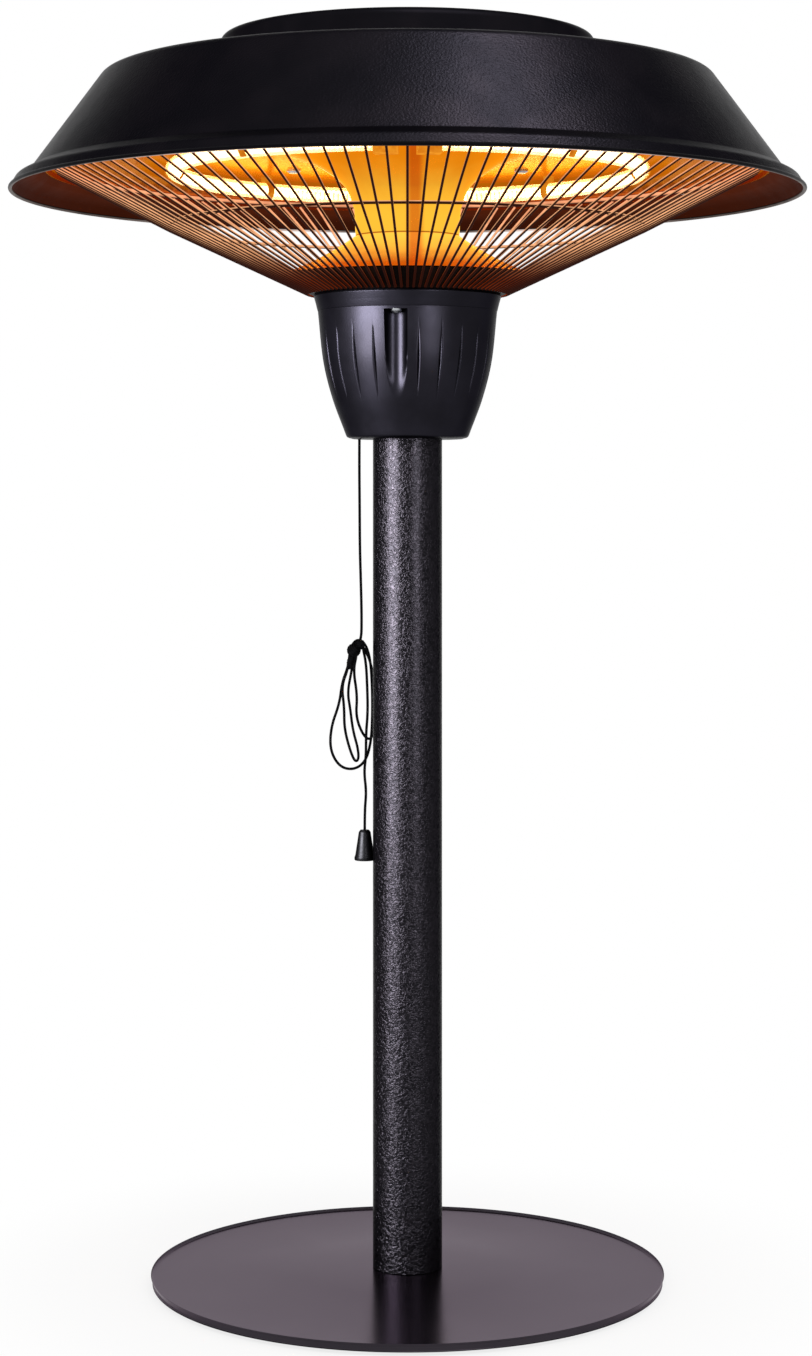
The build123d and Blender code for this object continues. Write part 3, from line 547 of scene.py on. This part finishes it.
def fillet(points, radii, steps=8):
    """An open line of (radius, height) points with its inner corners rounded by arcs."""
    line = [Vector(points[0])]
    for index in range(1, len(points) - 1):
        corner = Vector(points[index])
        radius = radii[index - 1]
        towards = (Vector(points[index - 1]) - corner).normalized()
        away = (Vector(points[index + 1]) - corner).normalized()
        half = towards.angle(away) / 2
        if radius <= 0:
            line.append(corner)
            continue
        reach = radius / math.tan(half)
        centre = corner + (towards + away).normalized() * (radius / math.sin(half))
        first = corner + towards * reach - centre
        turn = math.pi - 2 * half
        sign = 1 if first.x * away.y - first.y * away.x > 0 else -1
        for step in range(steps + 1):
            angle = sign * turn * step / steps
            cosine, sine = math.cos(angle), math.sin(angle)
            x = first.x * cosine - first.y * sine
            y = first.x * sine + first.y * cosine
            line.append(centre + Vector((x, y)))
    line.append(Vector(points[-1]))
    return line


def smooth_line(points, steps=10):
    """A Catmull-Rom line through (radius, height) points."""
    padded = [2 * Vector(points[0]) - Vector(points[1])] + [Vector(p) for p in points]
    padded.append(2 * Vector(points[-1]) - Vector(points[-2]))
    line = []
    for a, b, c, d in zip(padded, padded[1:], padded[2:], padded[3:]):
        for step in range(steps):
            t = step / steps
            line.append(0.5 * (2 * b + (c - a) * t + (2 * a - 5 * b + 4 * c - d) * t**2
                               + (3 * b - a - 3 * c + d) * t**3))
    line.append(Vector(points[-1]))
    return line


def thick_line(line, thickness):
    """A closed outline: the open line, and the line moved thickness to its left, run back."""
    moved = []
    for index, point in enumerate(line):
        before = line[max(index - 1, 0)]
        after = line[min(index + 1, len(line) - 1)]
        along = (after - before).normalized()
        moved.append(point + Vector((-along.y, along.x)) * thickness)
    return line + moved[::-1]


def lathe(outline, steps=ROUND_STEPS, place=(0.0, 0.0), work=None):
    """A bmesh turned about an upright axis from a closed outline of (radius, height) millimetres."""
    work = work or bmesh.new()
    rings = []
    for radius, height in outline:
        if radius < 1e-6:
            rings.append([work.verts.new((place[0] * MM, place[1] * MM, height * MM))])
            continue
        ring = []
        for step in range(steps):
            angle = 2 * math.pi * step / steps
            x = (place[0] + radius * math.cos(angle)) * MM
            y = (place[1] + radius * math.sin(angle)) * MM
            ring.append(work.verts.new((x, y, height * MM)))
        rings.append(ring)
    for low, high in zip(rings, rings[1:] + rings[:1]):
        bridge(work, low, high)
    return work


def bridge(work, low, high):
    """Faces between two closed rings of vertices, either of which may be a single point."""
    count = max(len(low), len(high))
    if count == 1:
        return
    for step in range(count):
        follow = (step + 1) % count
        below = [low[step % len(low)], low[follow % len(low)]]
        above = [high[follow % len(high)], high[step % len(high)]]
        corners = list(dict.fromkeys(below + above))
        if len(corners) > 2:
            work.faces.new(corners)


def turned_piece(name, outline, finishes, slot, nodes, body="root", place=(0.0, 0.0), steps=ROUND_STEPS):
    """A piece turned from a closed outline of (radius, height) points in millimetres."""
    mesh = mesh_of(lathe(outline, steps, place), name)
    return finished(name, mesh, finishes, body, slot, *nodes)


def tube_rings(work, centres, radius, sides):
    """A round tube along centres, in metres, closed by flat ends."""
    rings = []
    count = len(centres)
    side = None
    for index, centre in enumerate(centres):
        along = (centres[min(index + 1, count - 1)] - centres[max(index - 1, 0)]).normalized()
        if side is None:
            side = along.orthogonal().normalized()
        side = (side - along * side.dot(along)).normalized()
        up = along.cross(side)
        rings.append([
            work.verts.new(centre + radius * (math.cos(turn) * side + math.sin(turn) * up))
            for turn in [2 * math.pi * step / sides for step in range(sides)]
        ])
    for low, high in zip(rings, rings[1:]):
        bridge(work, low, high)
    work.faces.new(rings[0][::-1])
    work.faces.new(rings[-1])
    return rings


def torus(work, ring_r, height, wire_r, steps, sides):
    """A ring of round wire about the heater's axis, millimetres."""
    outline = []
    for step in range(sides):
        turn = 2 * math.pi * step / sides
        outline.append((ring_r + wire_r * math.cos(turn), height + wire_r * math.sin(turn)))
    lathe(outline, steps, work=work)


# Base and pole
def make_base():
    """The base plate with its eased edges."""
    plain = 60.0
    line = fillet(
        [(plain, BASE_LOW), (BASE_R, BASE_LOW), (BASE_R, BASE_TOP), (plain, BASE_TOP)], [0.8, 1.5]
    )
    line = [Vector((0, BASE_LOW))] + line + [Vector((0, BASE_TOP))]
    turned_piece("base_disc", line, ["base"], "base_paint", ["base_plate"])


def make_pole():
    """The pole's tube, its rims eased."""
    plain = BASE_TOP + 20
    outline = fillet(
        [(POLE_R, plain), (POLE_R, POLE_TOP), (POLE_BORE_R, POLE_TOP), (POLE_BORE_R, plain)], [0.4, 0.4]
    )
    foot = [
        Vector((POLE_BORE_R, BASE_TOP)),
        Vector((POLE_R - POLE_FOOT_EASE, BASE_TOP)),
        Vector((POLE_R, BASE_TOP + POLE_FOOT_EASE)),
    ]
    turned_piece("pole_tube", outline + foot, ["pole"], "black_hammered", ["pole"], steps=POLE_STEPS)


# Housing
def side_radius(height, table):
    """The bell's outer radius at a height, read along its finely divided side."""
    return float(np.interp(height, [p.y for p in table], [p.x for p in table]))


def soft_min(first, second, softness):
    """The lesser of two numbers, with the crossing rounded over softness."""
    gap = max(softness - abs(first - second), 0.0) / softness
    return min(first, second) - gap * gap * softness / 4


def cut_radius(angle, height, table):
    """The bell's radius at an angle from a place's middle line, with its flute or groove cut in."""
    outer = side_radius(height, table)
    place = round(angle / GROOVE_PITCH)
    off = math.radians(angle - place * GROOVE_PITCH)
    flute = place % int(360 / GROOVE_PITCH / FLUTE_COUNT) == 0
    if flute:
        across = FLUTE_RING_R * math.sin(off)
        if abs(across) >= FLUTE_R or not FLUTE_FLOOR <= height <= FLUTE_ROOF:
            return outer
        near = FLUTE_RING_R * math.cos(off) - math.sqrt(FLUTE_R**2 - across**2)
        return soft_min(outer, near, FLUTE_SOFTNESS)
    slope = (GROOVE_TOP[0] - GROOVE_LOW[0]) / (GROOVE_TOP[1] - GROOVE_LOW[1])
    apex = GROOVE_LOW[0] + slope * (height - GROOVE_LOW[1])
    steep = math.tan(math.radians(GROOVE_HALF_ANGLE))
    spread = steep * math.cos(off) - abs(math.sin(off))
    if spread <= 0.02:
        return outer
    return soft_min(outer, apex * steep / spread, GROOVE_SOFTNESS)


def make_housing():
    """The moulded bell with rounded screw flutes and V grooves, its floor pierced for pole and cord."""
    side = smooth_line(HOUSING_SIDE, 24)
    flat = (HOUSING_FLAT_R, HOUSING_BOTTOM)
    corner = fillet([flat, HOUSING_FOOT, tuple(side[0])], [HOUSING_FOOT_ROUND], 6)
    low, rise = HOUSING_SIDE[0][1], HOUSING_JOINT - HOUSING_SIDE[0][1]
    heights = [low + rise * row / HOUSING_ROWS for row in range(HOUSING_ROWS + 1)]
    heights += [edge + step for edge in (FLUTE_FLOOR, FLUTE_ROOF) for step in (-0.02, 0.02)]
    columns = int(360 / GROOVE_PITCH) * HOUSING_PLACE_COLUMNS
    work = bmesh.new()

    def ring(radius_at, height):
        verts = []
        for step in range(columns):
            angle = 360 * step / columns
            turn = math.radians(-90 + FLUTE_FRONT_ANGLE + angle)
            radius = radius_at(angle) * MM
            place = (radius * math.cos(turn), radius * math.sin(turn), height * MM)
            verts.append(work.verts.new(place))
        return verts

    rings = [ring(lambda angle, r=point.x: r, point.y) for point in corner[:-1]]
    for height in sorted(heights):
        rings.append(ring(lambda angle, z=height: cut_radius(angle, z, side), height))
    rings.append(ring(lambda angle: side[-1].x - HOUSING_WALL, HOUSING_JOINT))
    # The inner wall's heights, each with the height at which the outer side is read for it
    inner = [(FLUTE_ROOF + 1.6, FLUTE_ROOF + 1.6), (FLUTE_ROOF + 1.5, FLUTE_ROOF - 0.1)]
    inner += [(height, height) for _, height in HOUSING_SIDE[2:0:-1]]
    inner.append((HOUSING_FLOOR_TOP, HOUSING_FLOOR_TOP))
    wall = HOUSING_WALL + 0.2
    for height, read_at in inner:
        rings.append(ring(lambda angle, z=read_at: cut_radius(angle, z, side) - wall, height))
    for below, above in zip(rings, rings[1:]):
        bridge(work, below, above)
    floor_faces(work, rings[0], HOUSING_BOTTOM)
    floor_faces(work, rings[-1], HOUSING_FLOOR_TOP)
    mesh = mesh_of(work, "housing_shell", HOUSING_SHARP_ANGLE)
    finished("housing_shell", mesh, ["plastic"], "root", "housing_plastic", "housing_body")


def floor_faces(work, edge_ring, height):
    """A flat floor inside a ring of vertices, with round holes for the pole and the cord's bush."""
    loops = [edge_ring]
    for x, y, radius, steps in ((0.0, 0.0, POLE_R + POLE_CLEARANCE, 96), (*BUSH_PLACE, BUSH_R, 24)):
        hole = []
        for step in range(steps):
            turn = 2 * math.pi * step / steps
            place = (x + radius * math.cos(turn), y + radius * math.sin(turn), height)
            hole.append(work.verts.new([value * MM for value in place]))
        loops.append(hole)
    edges = []
    for loop in loops:
        for first, second in zip(loop, loop[1:] + loop[:1]):
            edges.append(work.edges.get((first, second)) or work.edges.new((first, second)))
    bmesh.ops.triangle_fill(work, use_beauty=True, use_dissolve=False, edges=edges)


def make_cover():
    """The housing's lid, its collar swelling over the bell's top edge."""
    outline = fillet(
        [
            (COVER_BORE_R, COVER_LOW),
            (COVER_PLUG_R, COVER_LOW),
            (COVER_PLUG_R, COVER_CEILING),
            (COVER_HOLLOW_R, COVER_CEILING),
            (COVER_HOLLOW_R, HOUSING_JOINT),
            *COVER_SIDE,
            (COVER_R - 0.5, HOUSING_TOP),
            (COVER_BORE_R, HOUSING_TOP),
        ],
        [0, 0, 0, 0, 0.5, 4.0, 0.6, 0.5],
    )
    turned_piece("housing_lid", outline, ["plastic"], "housing_plastic", ["housing_top_cover"])


# Guard
def hub_line_z(radius):
    """The height of the hub's underside line, along which the wires lie."""
    return HUB_FOOT[1] + GUARD_SLOPE_IN * (radius - HUB_FOOT[0])


def wire_height(radius):
    """The height of a wire's middle at a radius."""
    drop = WIRE_R / math.cos(math.atan(GUARD_SLOPE_IN))
    if radius <= GUARD_BEND_R:
        return hub_line_z(radius) - drop
    return hub_line_z(GUARD_BEND_R) - drop + GUARD_SLOPE_OUT * (radius - GUARD_BEND_R)


def ring_place(radius, slope, ring_r):
    """The middle of a ring that lies on the wires' inner side."""
    tilt = math.atan(slope)
    reach = WIRE_R + ring_r
    return radius - reach * math.sin(tilt), wire_height(radius) + reach * math.cos(tilt)


def make_guard():
    """The welded guard: wires, two rings on their inner side, weld beads and the hub."""
    make_wires()
    for name, radius, slope, ring_r in GUARD_RINGS:
        work = bmesh.new()
        middle_r, middle_z = ring_place(radius, slope, ring_r)
        torus(work, middle_r, middle_z, ring_r, RING_STEPS, RING_SIDES)
        finished(name + "_round", mesh_of(work, name), ["guard"], "root", "guard_black", name)
    make_beads()
    line = fillet([(COVER_BORE_R, HUB_FOOT[1]), HUB_FOOT, (HUB_R, hub_line_z(HUB_R))], [2.0])
    turned_piece("guard_hub_cone", thick_line(line, HUB_T), ["hub"], "guard_black", ["guard_hub"])


def wire_directions():
    """The outward direction of each wire."""
    for index in range(WIRE_COUNT):
        turn = math.radians(-90 + 360 / WIRE_COUNT * index)
        yield Vector((math.cos(turn), math.sin(turn), 0))


def make_wires():
    """Round wires, bent where the guard's slope changes, with domed ends."""
    bends = (90.0, GUARD_BEND_R - 1.5, GUARD_BEND_R, GUARD_BEND_R + 1.5, 165.0)
    dome = [(0.0, 0.35), (0.25, 0.75), (0.6, 1.0)]
    low = [(GUARD_START_R + 0.1 + step, share) for step, share in dome]
    high = [(GUARD_END_R - 0.3 - step, share) for step, share in dome[::-1]]
    places = low + [(radius, 1.0) for radius in bends] + high
    work = bmesh.new()
    for out in wire_directions():
        centres = [out * radius * MM + Vector((0, 0, wire_height(radius) * MM)) for radius, _ in places]
        rings = tube_rings(work, centres, WIRE_R * MM, WIRE_SIDES)
        for ring, centre, (_, share) in zip(rings, centres, places):
            for vert in ring:
                vert.co = centre + (vert.co - centre) * share
    mesh = mesh_of(work, "guard_round_wires")
    finished("guard_round_wires", mesh, ["guard"], "root", "guard_black", "guard_wires")


def make_beads():
    """A flattened bead of weld wherever a ring meets a wire."""
    work = bmesh.new()
    for _, radius, slope, ring_r in GUARD_RINGS:
        middle_r, middle_z = ring_place(radius, slope, ring_r)
        contact_r = middle_r + ring_r * math.sin(math.atan(slope))
        contact_z = middle_z - ring_r * math.cos(math.atan(slope))
        for out in wire_directions():
            centre = (out * contact_r + Vector((0, 0, contact_z))) * MM
            made = bmesh.ops.create_icosphere(work, subdivisions=2, radius=BEAD_R * MM)
            for vert in made["verts"]:
                vert.co = centre + Vector((vert.co.x, vert.co.y, vert.co.z * BEAD_FLATNESS))
    finished("guard_weld_beads", mesh_of(work, "guard_weld_beads"), ["guard"], "root", "guard_black")


# Reflectors and lamps
def make_reflectors():
    """The polished lower cone, the trumpet column and the dish with its rim and lip."""
    arc = arc_through(CONE_FOOT, CONE_MIDDLE, (COLUMN_R, COLUMN_BOTTOM), 24)
    cone = thick_line(arc, COLUMN_T)
    turned_piece("lower_cone_sheet", cone, ["lower_cone"], "reflector", ["lower_reflector_cone"])
    flare = [Vector((COLUMN_R, COLUMN_BOTTOM))] + smooth_line(TRUMPET, 12)
    column = thick_line(flare, COLUMN_T)
    turned_piece("column_sheet", column, ["column"], "reflector", ["reflector_column"])
    line = fillet(
        [
            (DISH_BORE_R, CEILING_Z),
            (DISH_CEILING_R, CEILING_Z),
            (DISH_STEP_R, REFLECTOR_RIM_Z),
            (REFLECTOR_LIP_R, REFLECTOR_RIM_Z),
            (REFLECTOR_LIP_R, REFLECTOR_LIP_Z),
        ],
        [3.0, 3.0, 1.2],
    )
    turned_piece("dish_sheet", thick_line(line, SHEET_T), ["dish"], "reflector", ["reflector_dish"])


def arc_through(first, middle, last, steps):
    """A line of points along the circle through three (radius, height) points."""
    ax, ay, bx, by, cx, cy = *first, *middle, *last
    scale = 2 * (ax * (by - cy) + bx * (cy - ay) + cx * (ay - by))
    a2, b2, c2 = ax**2 + ay**2, bx**2 + by**2, cx**2 + cy**2
    ux = (a2 * (by - cy) + b2 * (cy - ay) + c2 * (ay - by)) / scale
    uy = (a2 * (cx - bx) + b2 * (ax - cx) + c2 * (bx - ax)) / scale
    start = math.atan2(ay - uy, ax - ux)
    end = math.atan2(cy - uy, cx - ux)
    if abs(end - start) > math.pi:
        end += 2 * math.pi if end < start else -2 * math.pi
    reach = math.hypot(ax - ux, ay - uy)
    turns = [start + (end - start) * step / steps for step in range(steps + 1)]
    return [Vector((ux + reach * math.cos(turn), uy + reach * math.sin(turn))) for turn in turns]


def lamp_line(side, steps):
    """Points along a lamp's middle line, in metres, each with its outward direction."""
    for step in range(steps + 1):
        angle = LAMP_END_ANGLE + (180 - 2 * LAMP_END_ANGLE) * step / steps
        turn = math.radians(-90 + side * angle)
        out = Vector((math.cos(turn), math.sin(turn), 0))
        yield out * LAMP_RING_R * MM + Vector((0, 0, LAMP_Z * MM)), out


def make_lamps():
    """Two half-ring quartz tubes, each round a white-hot coil."""
    for name, side in (("lamp_right", 1), ("lamp_left", -1)):
        work = bmesh.new()
        tube_rings(work, [centre for centre, _ in lamp_line(side, LAMP_STEPS)], LAMP_R * MM, LAMP_SIDES)
        finished(name + "_tube", mesh_of(work, name + "_tube"), ["quartz"], "root", "quartz", name)
        coil = bmesh.new()
        centres = []
        for index, (centre, out) in enumerate(lamp_line(side, COIL_TURNS * COIL_STEPS)):
            turn = 2 * math.pi * index / COIL_STEPS
            centres.append(centre + COIL_R * MM * (math.cos(turn) * out + Vector((0, 0, math.sin(turn)))))
        tube_rings(coil, centres, COIL_WIRE_R * MM, COIL_SIDES)
        finished(name + "_coil", mesh_of(coil, name + "_coil"), ["coil"], "root", "quartz")


# Shade and cap
def make_shade():
    """The spun shade with its crease, flare and rolled hem, its inside dark with painted copper
    lamplight.
    """
    line = fillet(
        [(0, SHADE_TOP), (SHADE_SHOULDER_R, SHADE_TOP), SHADE_CREASE, SHADE_FLARE, SHADE_RIM],
        [8.0, 2.5, 5.0],
    )
    outline = thick_line(line, -SHADE_T)
    piece = turned_piece("shade_shell", outline, ["shade", "shade_inside"], "black_hammered", ["shade"])
    colour_inside(piece, len(line))
    work = bmesh.new()
    torus(work, SHADE_RIM[0] - 0.3, SHADE_RIM[1] - 0.2, HEM_R, ROUND_STEPS, HEM_SIDES)
    finished("shade_hem", mesh_of(work, "shade_hem"), ["hem"], "root", "black_hammered")


def colour_inside(piece, outer_count):
    """The second finish on the faces made from the outline's inner half."""
    for polygon in piece.data.polygons:
        if polygon.index // ROUND_STEPS >= outer_count:
            polygon.material_index = 1


def make_cap():
    """The shallow cap over the shade's top."""
    line = fillet([(0, CAP_TOP), (CAP_R, CAP_TOP), (CAP_R, SHADE_TOP)], [4.0])
    turned_piece("cap_shell", thick_line(line, -SHADE_T), ["cap"], "black_satin", ["top_cap"])


# Pull cord
def make_cord():
    """The pull cord as one line from the switch through its hank to the knob, with knot and knob."""
    data = bpy.data.curves.new("pull_cord", "CURVE")
    data.dimensions = "3D"
    data.bevel_depth = CORD_R
    data.bevel_resolution = 3
    data.resolution_u = 10
    data.use_fill_caps = True
    spline = data.splines.new("NURBS")
    spline.points.add(len(CORD_ROUTE) - 1)
    for point, place in zip(spline.points, CORD_ROUTE):
        point.co = (*[value * MM for value in place], 1.0)
        point.radius = MM
    spline.order_u = 3
    spline.use_endpoint_u = True
    cord = placed("pull_cord", data)
    data.materials.append(FINISHES["cord"])
    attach(cord, "pull")
    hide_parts("pull_cord_upper", "pull_cord_hank", "pull_cord_tail")
    knot = make_knot()
    knob = make_knob()
    length = curve_length(cord)


def curve_length(curve):
    """The length of a curve object's line, in metres."""
    bevel = curve.data.bevel_depth
    curve.data.bevel_depth = 0.0
    graph = bpy.context.evaluated_depsgraph_get()
    line = bpy.data.meshes.new_from_object(curve.evaluated_get(graph))
    curve.data.bevel_depth = bevel
    places = [vertex.co for vertex in line.vertices]
    total = sum((after - before).length for before, after in zip(places, places[1:]))
    bpy.data.meshes.remove(line)
    return total


def make_knot():
    """The knot that gathers the hank: turns of the cord wound round two lobes and a short neck."""
    work = bmesh.new()
    for centre, radius, stretch, lean in KNOT_LOBES:
        wound_ball(work, Vector(centre), radius, stretch, math.radians(lean))
    mesh = mesh_of(work, "pull_cord_knot_turns")
    return finished("pull_cord_knot_turns", mesh, ["cord"], "pull", "cord", "pull_cord_knot")


def wound_ball(work, centre, radius, stretch, lean):
    """A closed ball of cord wound in slanting turns, stretched along an axis that leans sideways."""
    axis = Vector((math.sin(lean), 0, math.cos(lean)))
    side = Vector((math.cos(lean), 0, -math.sin(lean)))
    slant, roundness = 0.35, 1.84
    rings = []
    for row in range(1, BALL_STEPS):
        polar = math.pi * row / BALL_STEPS
        ring = []
        for column in range(BALL_STEPS):
            turn = 2 * math.pi * column / BALL_STEPS
            lane = (polar * stretch + slant * math.sin(turn)) * radius / (2 * CORD_R)
            off = roundness * (lane - round(lane))
            reach = radius - CORD_R + CORD_R * math.sqrt(1 - off * off)
            flat = reach * math.sin(polar)
            spot = centre + flat * (math.cos(turn) * side + math.sin(turn) * Vector((0, 1, 0)))
            ring.append(work.verts.new((spot + reach * stretch * math.cos(polar) * axis) * MM))
        rings.append(ring)
    for low, high in zip(rings, rings[1:]):
        bridge(work, low, high)
    for ring, end in ((rings[0], 1), (rings[-1], -1)):
        tip = work.verts.new((centre + end * (radius - 0.4) * stretch * axis) * MM)
        for first, second in zip(ring, ring[1:] + ring[:1]):
            work.faces.new((first, second, tip))


def make_spring():
    """The switch's return spring: a coil of round wire from its seat up to its top."""
    work = bmesh.new()
    length = SPRING_TOP - SPRING_SEAT
    steps = SPRING_TURNS * SPRING_TURN_STEPS
    centres = []
    for step in range(steps + 1):
        turn = 2 * math.pi * step / SPRING_TURN_STEPS
        x = BUSH_PLACE[0] + SPRING_R * math.cos(turn)
        y = BUSH_PLACE[1] + SPRING_R * math.sin(turn)
        height = SPRING_SEAT + SPRING_WIRE_R + (length - 2 * SPRING_WIRE_R) * step / steps
        centres.append(Vector((x, y, height)) * MM)
    tube_rings(work, centres, SPRING_WIRE_R * MM, SPRING_SIDES)
    mesh = mesh_of(work, "return_spring_coil")
    spring = finished("return_spring_coil", mesh, ["steel"], "root", "zinc_steel", "switch_return_spring")
    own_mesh(spring)


def make_knob():
    """The pull knob: a tapered bell with a ledge near its foot."""
    top, low = KNOB_TOP, KNOB_TOP - KNOB_H
    ledge = [(5.6, low), (5.75, low + 1.6), (5.2, low + 3.0)]
    crown = [(3.3, top - 1.2), (2.4, top), (0, top)]
    outline = fillet([(0, low)] + ledge + crown, [0.5, 0.3, 0.6, 1.0, 0.4])
    return turned_piece(
        "pull_knob_bell", outline, ["knob"], "knob_plastic", ["pull_knob"], "pull", KNOB_PLACE, KNOB_STEPS
    )


# CAD nodes that nothing replaces, under their finishes
KEPT_NODES = {
    "rubber": ["foot_pads", "cord_outlet_grommet"],
    "steel": [
        "base_screws", "housing_screws", "socket_screws", "tie_rods", "tie_rod_nuts",
        "guard_clips", "reflector_spacers", "spacer_screws", "cap_brackets", "cap_screws",
    ],
    "dark_steel": ["pole_foot_plug", "pole_socket", "core_tube", "thermal_cutout"],
    "ceramic": ["terminal_block"],
    "switch": ["tip_over_switch", "pull_switch_body", "switch_plunger", "cord_guide_bush"],
    "lamp_lit_ceramic": ["lamp_end_caps"],
    "lamp_lit_steel": ["lamp_end_brackets", "lamp_clips"],
}


def dress_kept_nodes():
    """Puts a finish on every CAD node that nothing replaces."""
    for key, names in KEPT_NODES.items():
        for name in names:
            mesh = NODES[name].data
            mesh.materials.clear()
            mesh.materials.append(FINISHES[key])


# Stage, lights and camera
def make_stage():
    """A plain pale floor that fades into the white background."""
    mesh = bpy.data.meshes.new("floor")
    corners = [(-1, -1), (1, -1), (1, 1), (-1, 1)]
    mesh.from_pydata([(x * FLOOR_REACH, y * FLOOR_REACH, 0) for x, y in corners], [], [(0, 1, 2, 3)])
    floor = placed("floor", mesh)
    finish = Finish("pale floor")
    speckle = finish.noise(3, 2.0)
    finish.feed("Base Color", finish.blend(speckle, "f4f4f4", "f7f7f7"))
    finish.set(Roughness=0.9, Specular_IOR_Level=0.0)
    radius, _ = finish.radius_and_height()
    white = finish.node("ShaderNodeEmission")
    white.inputs["Color"].default_value = (1, 1, 1, 1)
    fade = finish.span(radius, *FLOOR_FADE, *FLOOR_WHITE)
    mixer = finish.node("ShaderNodeMixShader")
    finish.join(fade, mixer.inputs["Fac"])
    finish.join(finish.shader.outputs["BSDF"], mixer.inputs[1])
    finish.join(white.outputs["Emission"], mixer.inputs[2])
    finish.join(mixer.outputs[0], finish.tree.nodes["Material Output"].inputs["Surface"])
    mesh.materials.append(finish.material)


def make_world():
    """White behind everything; a dimmer, even light on the object itself."""
    world = bpy.data.worlds.new("studio")
    bpy.context.scene.world = world
    world.use_nodes = True
    tree = world.node_tree
    background = tree.nodes["Background"]
    rays = tree.nodes.new("ShaderNodeLightPath").outputs
    seen = rays["Is Camera Ray"]
    for kind in ("Is Glossy Ray", "Is Transmission Ray"):
        either = tree.nodes.new("ShaderNodeMath")
        either.operation = "ADD"
        either.use_clamp = True
        tree.links.new(seen, either.inputs[0])
        tree.links.new(rays[kind], either.inputs[1])
        seen = either.outputs[0]
    level = tree.nodes.new("ShaderNodeMapRange")
    level.inputs["To Min"].default_value = AMBIENT_LEVEL
    level.inputs["To Max"].default_value = SEEN_LEVEL
    tree.links.new(seen, level.inputs["Value"])
    tree.links.new(level.outputs["Result"], background.inputs["Strength"])
    background.inputs["Color"].default_value = (1, 1, 1, 1)


def soft_light(name, place, target, size, power, only):
    """A rectangular soft box aimed at a point; one only for some pieces is a highlight on them."""
    data = bpy.data.lights.new(name, "AREA")
    data.shape = "RECTANGLE"
    data.size, data.size_y = size
    data.energy = power
    light = placed(name, data)
    light.location = place
    light.rotation_euler = (Vector(target) - Vector(place)).to_track_quat("-Z", "Y").to_euler()
    if only:
        light.visible_diffuse = False
        pieces = bpy.data.collections.new(name + " pieces")
        for piece in only:
            pieces.objects.link(bpy.data.objects[piece])
        light.light_linking.receiver_collection = pieces


def make_camera():
    """The photograph's level view."""
    long_side = max(PHOTO_SIZE)
    data = bpy.data.cameras.new("camera")
    data.sensor_width = SENSOR
    data.sensor_fit = "AUTO"
    data.lens = SENSOR * FOCAL_PIXELS / long_side
    data.shift_x = (PHOTO_SIZE[0] / 2 - AXIS_PIXEL) / long_side
    data.shift_y = -(PHOTO_SIZE[1] / 2 - HORIZON_PIXEL) / long_side
    data.clip_end = 50
    camera = placed("camera", data)
    camera.location = CAMERA_PLACE
    camera.rotation_euler = (math.pi / 2, 0, 0)
    bpy.context.scene.camera = camera


def main():
    """Builds every piece, the stage and the view."""
    make_camera()
    make_cord()
    make_spring()
    make_base()
    make_pole()
    make_housing()
    make_cover()
    make_guard()
    make_reflectors()
    make_lamps()
    make_shade()
    make_cap()
    dress_kept_nodes()
    make_stage()
    make_world()
    for light in LIGHTS:
        soft_light(*light)
    bpy.context.scene.view_settings.view_transform = "Standard"


main()
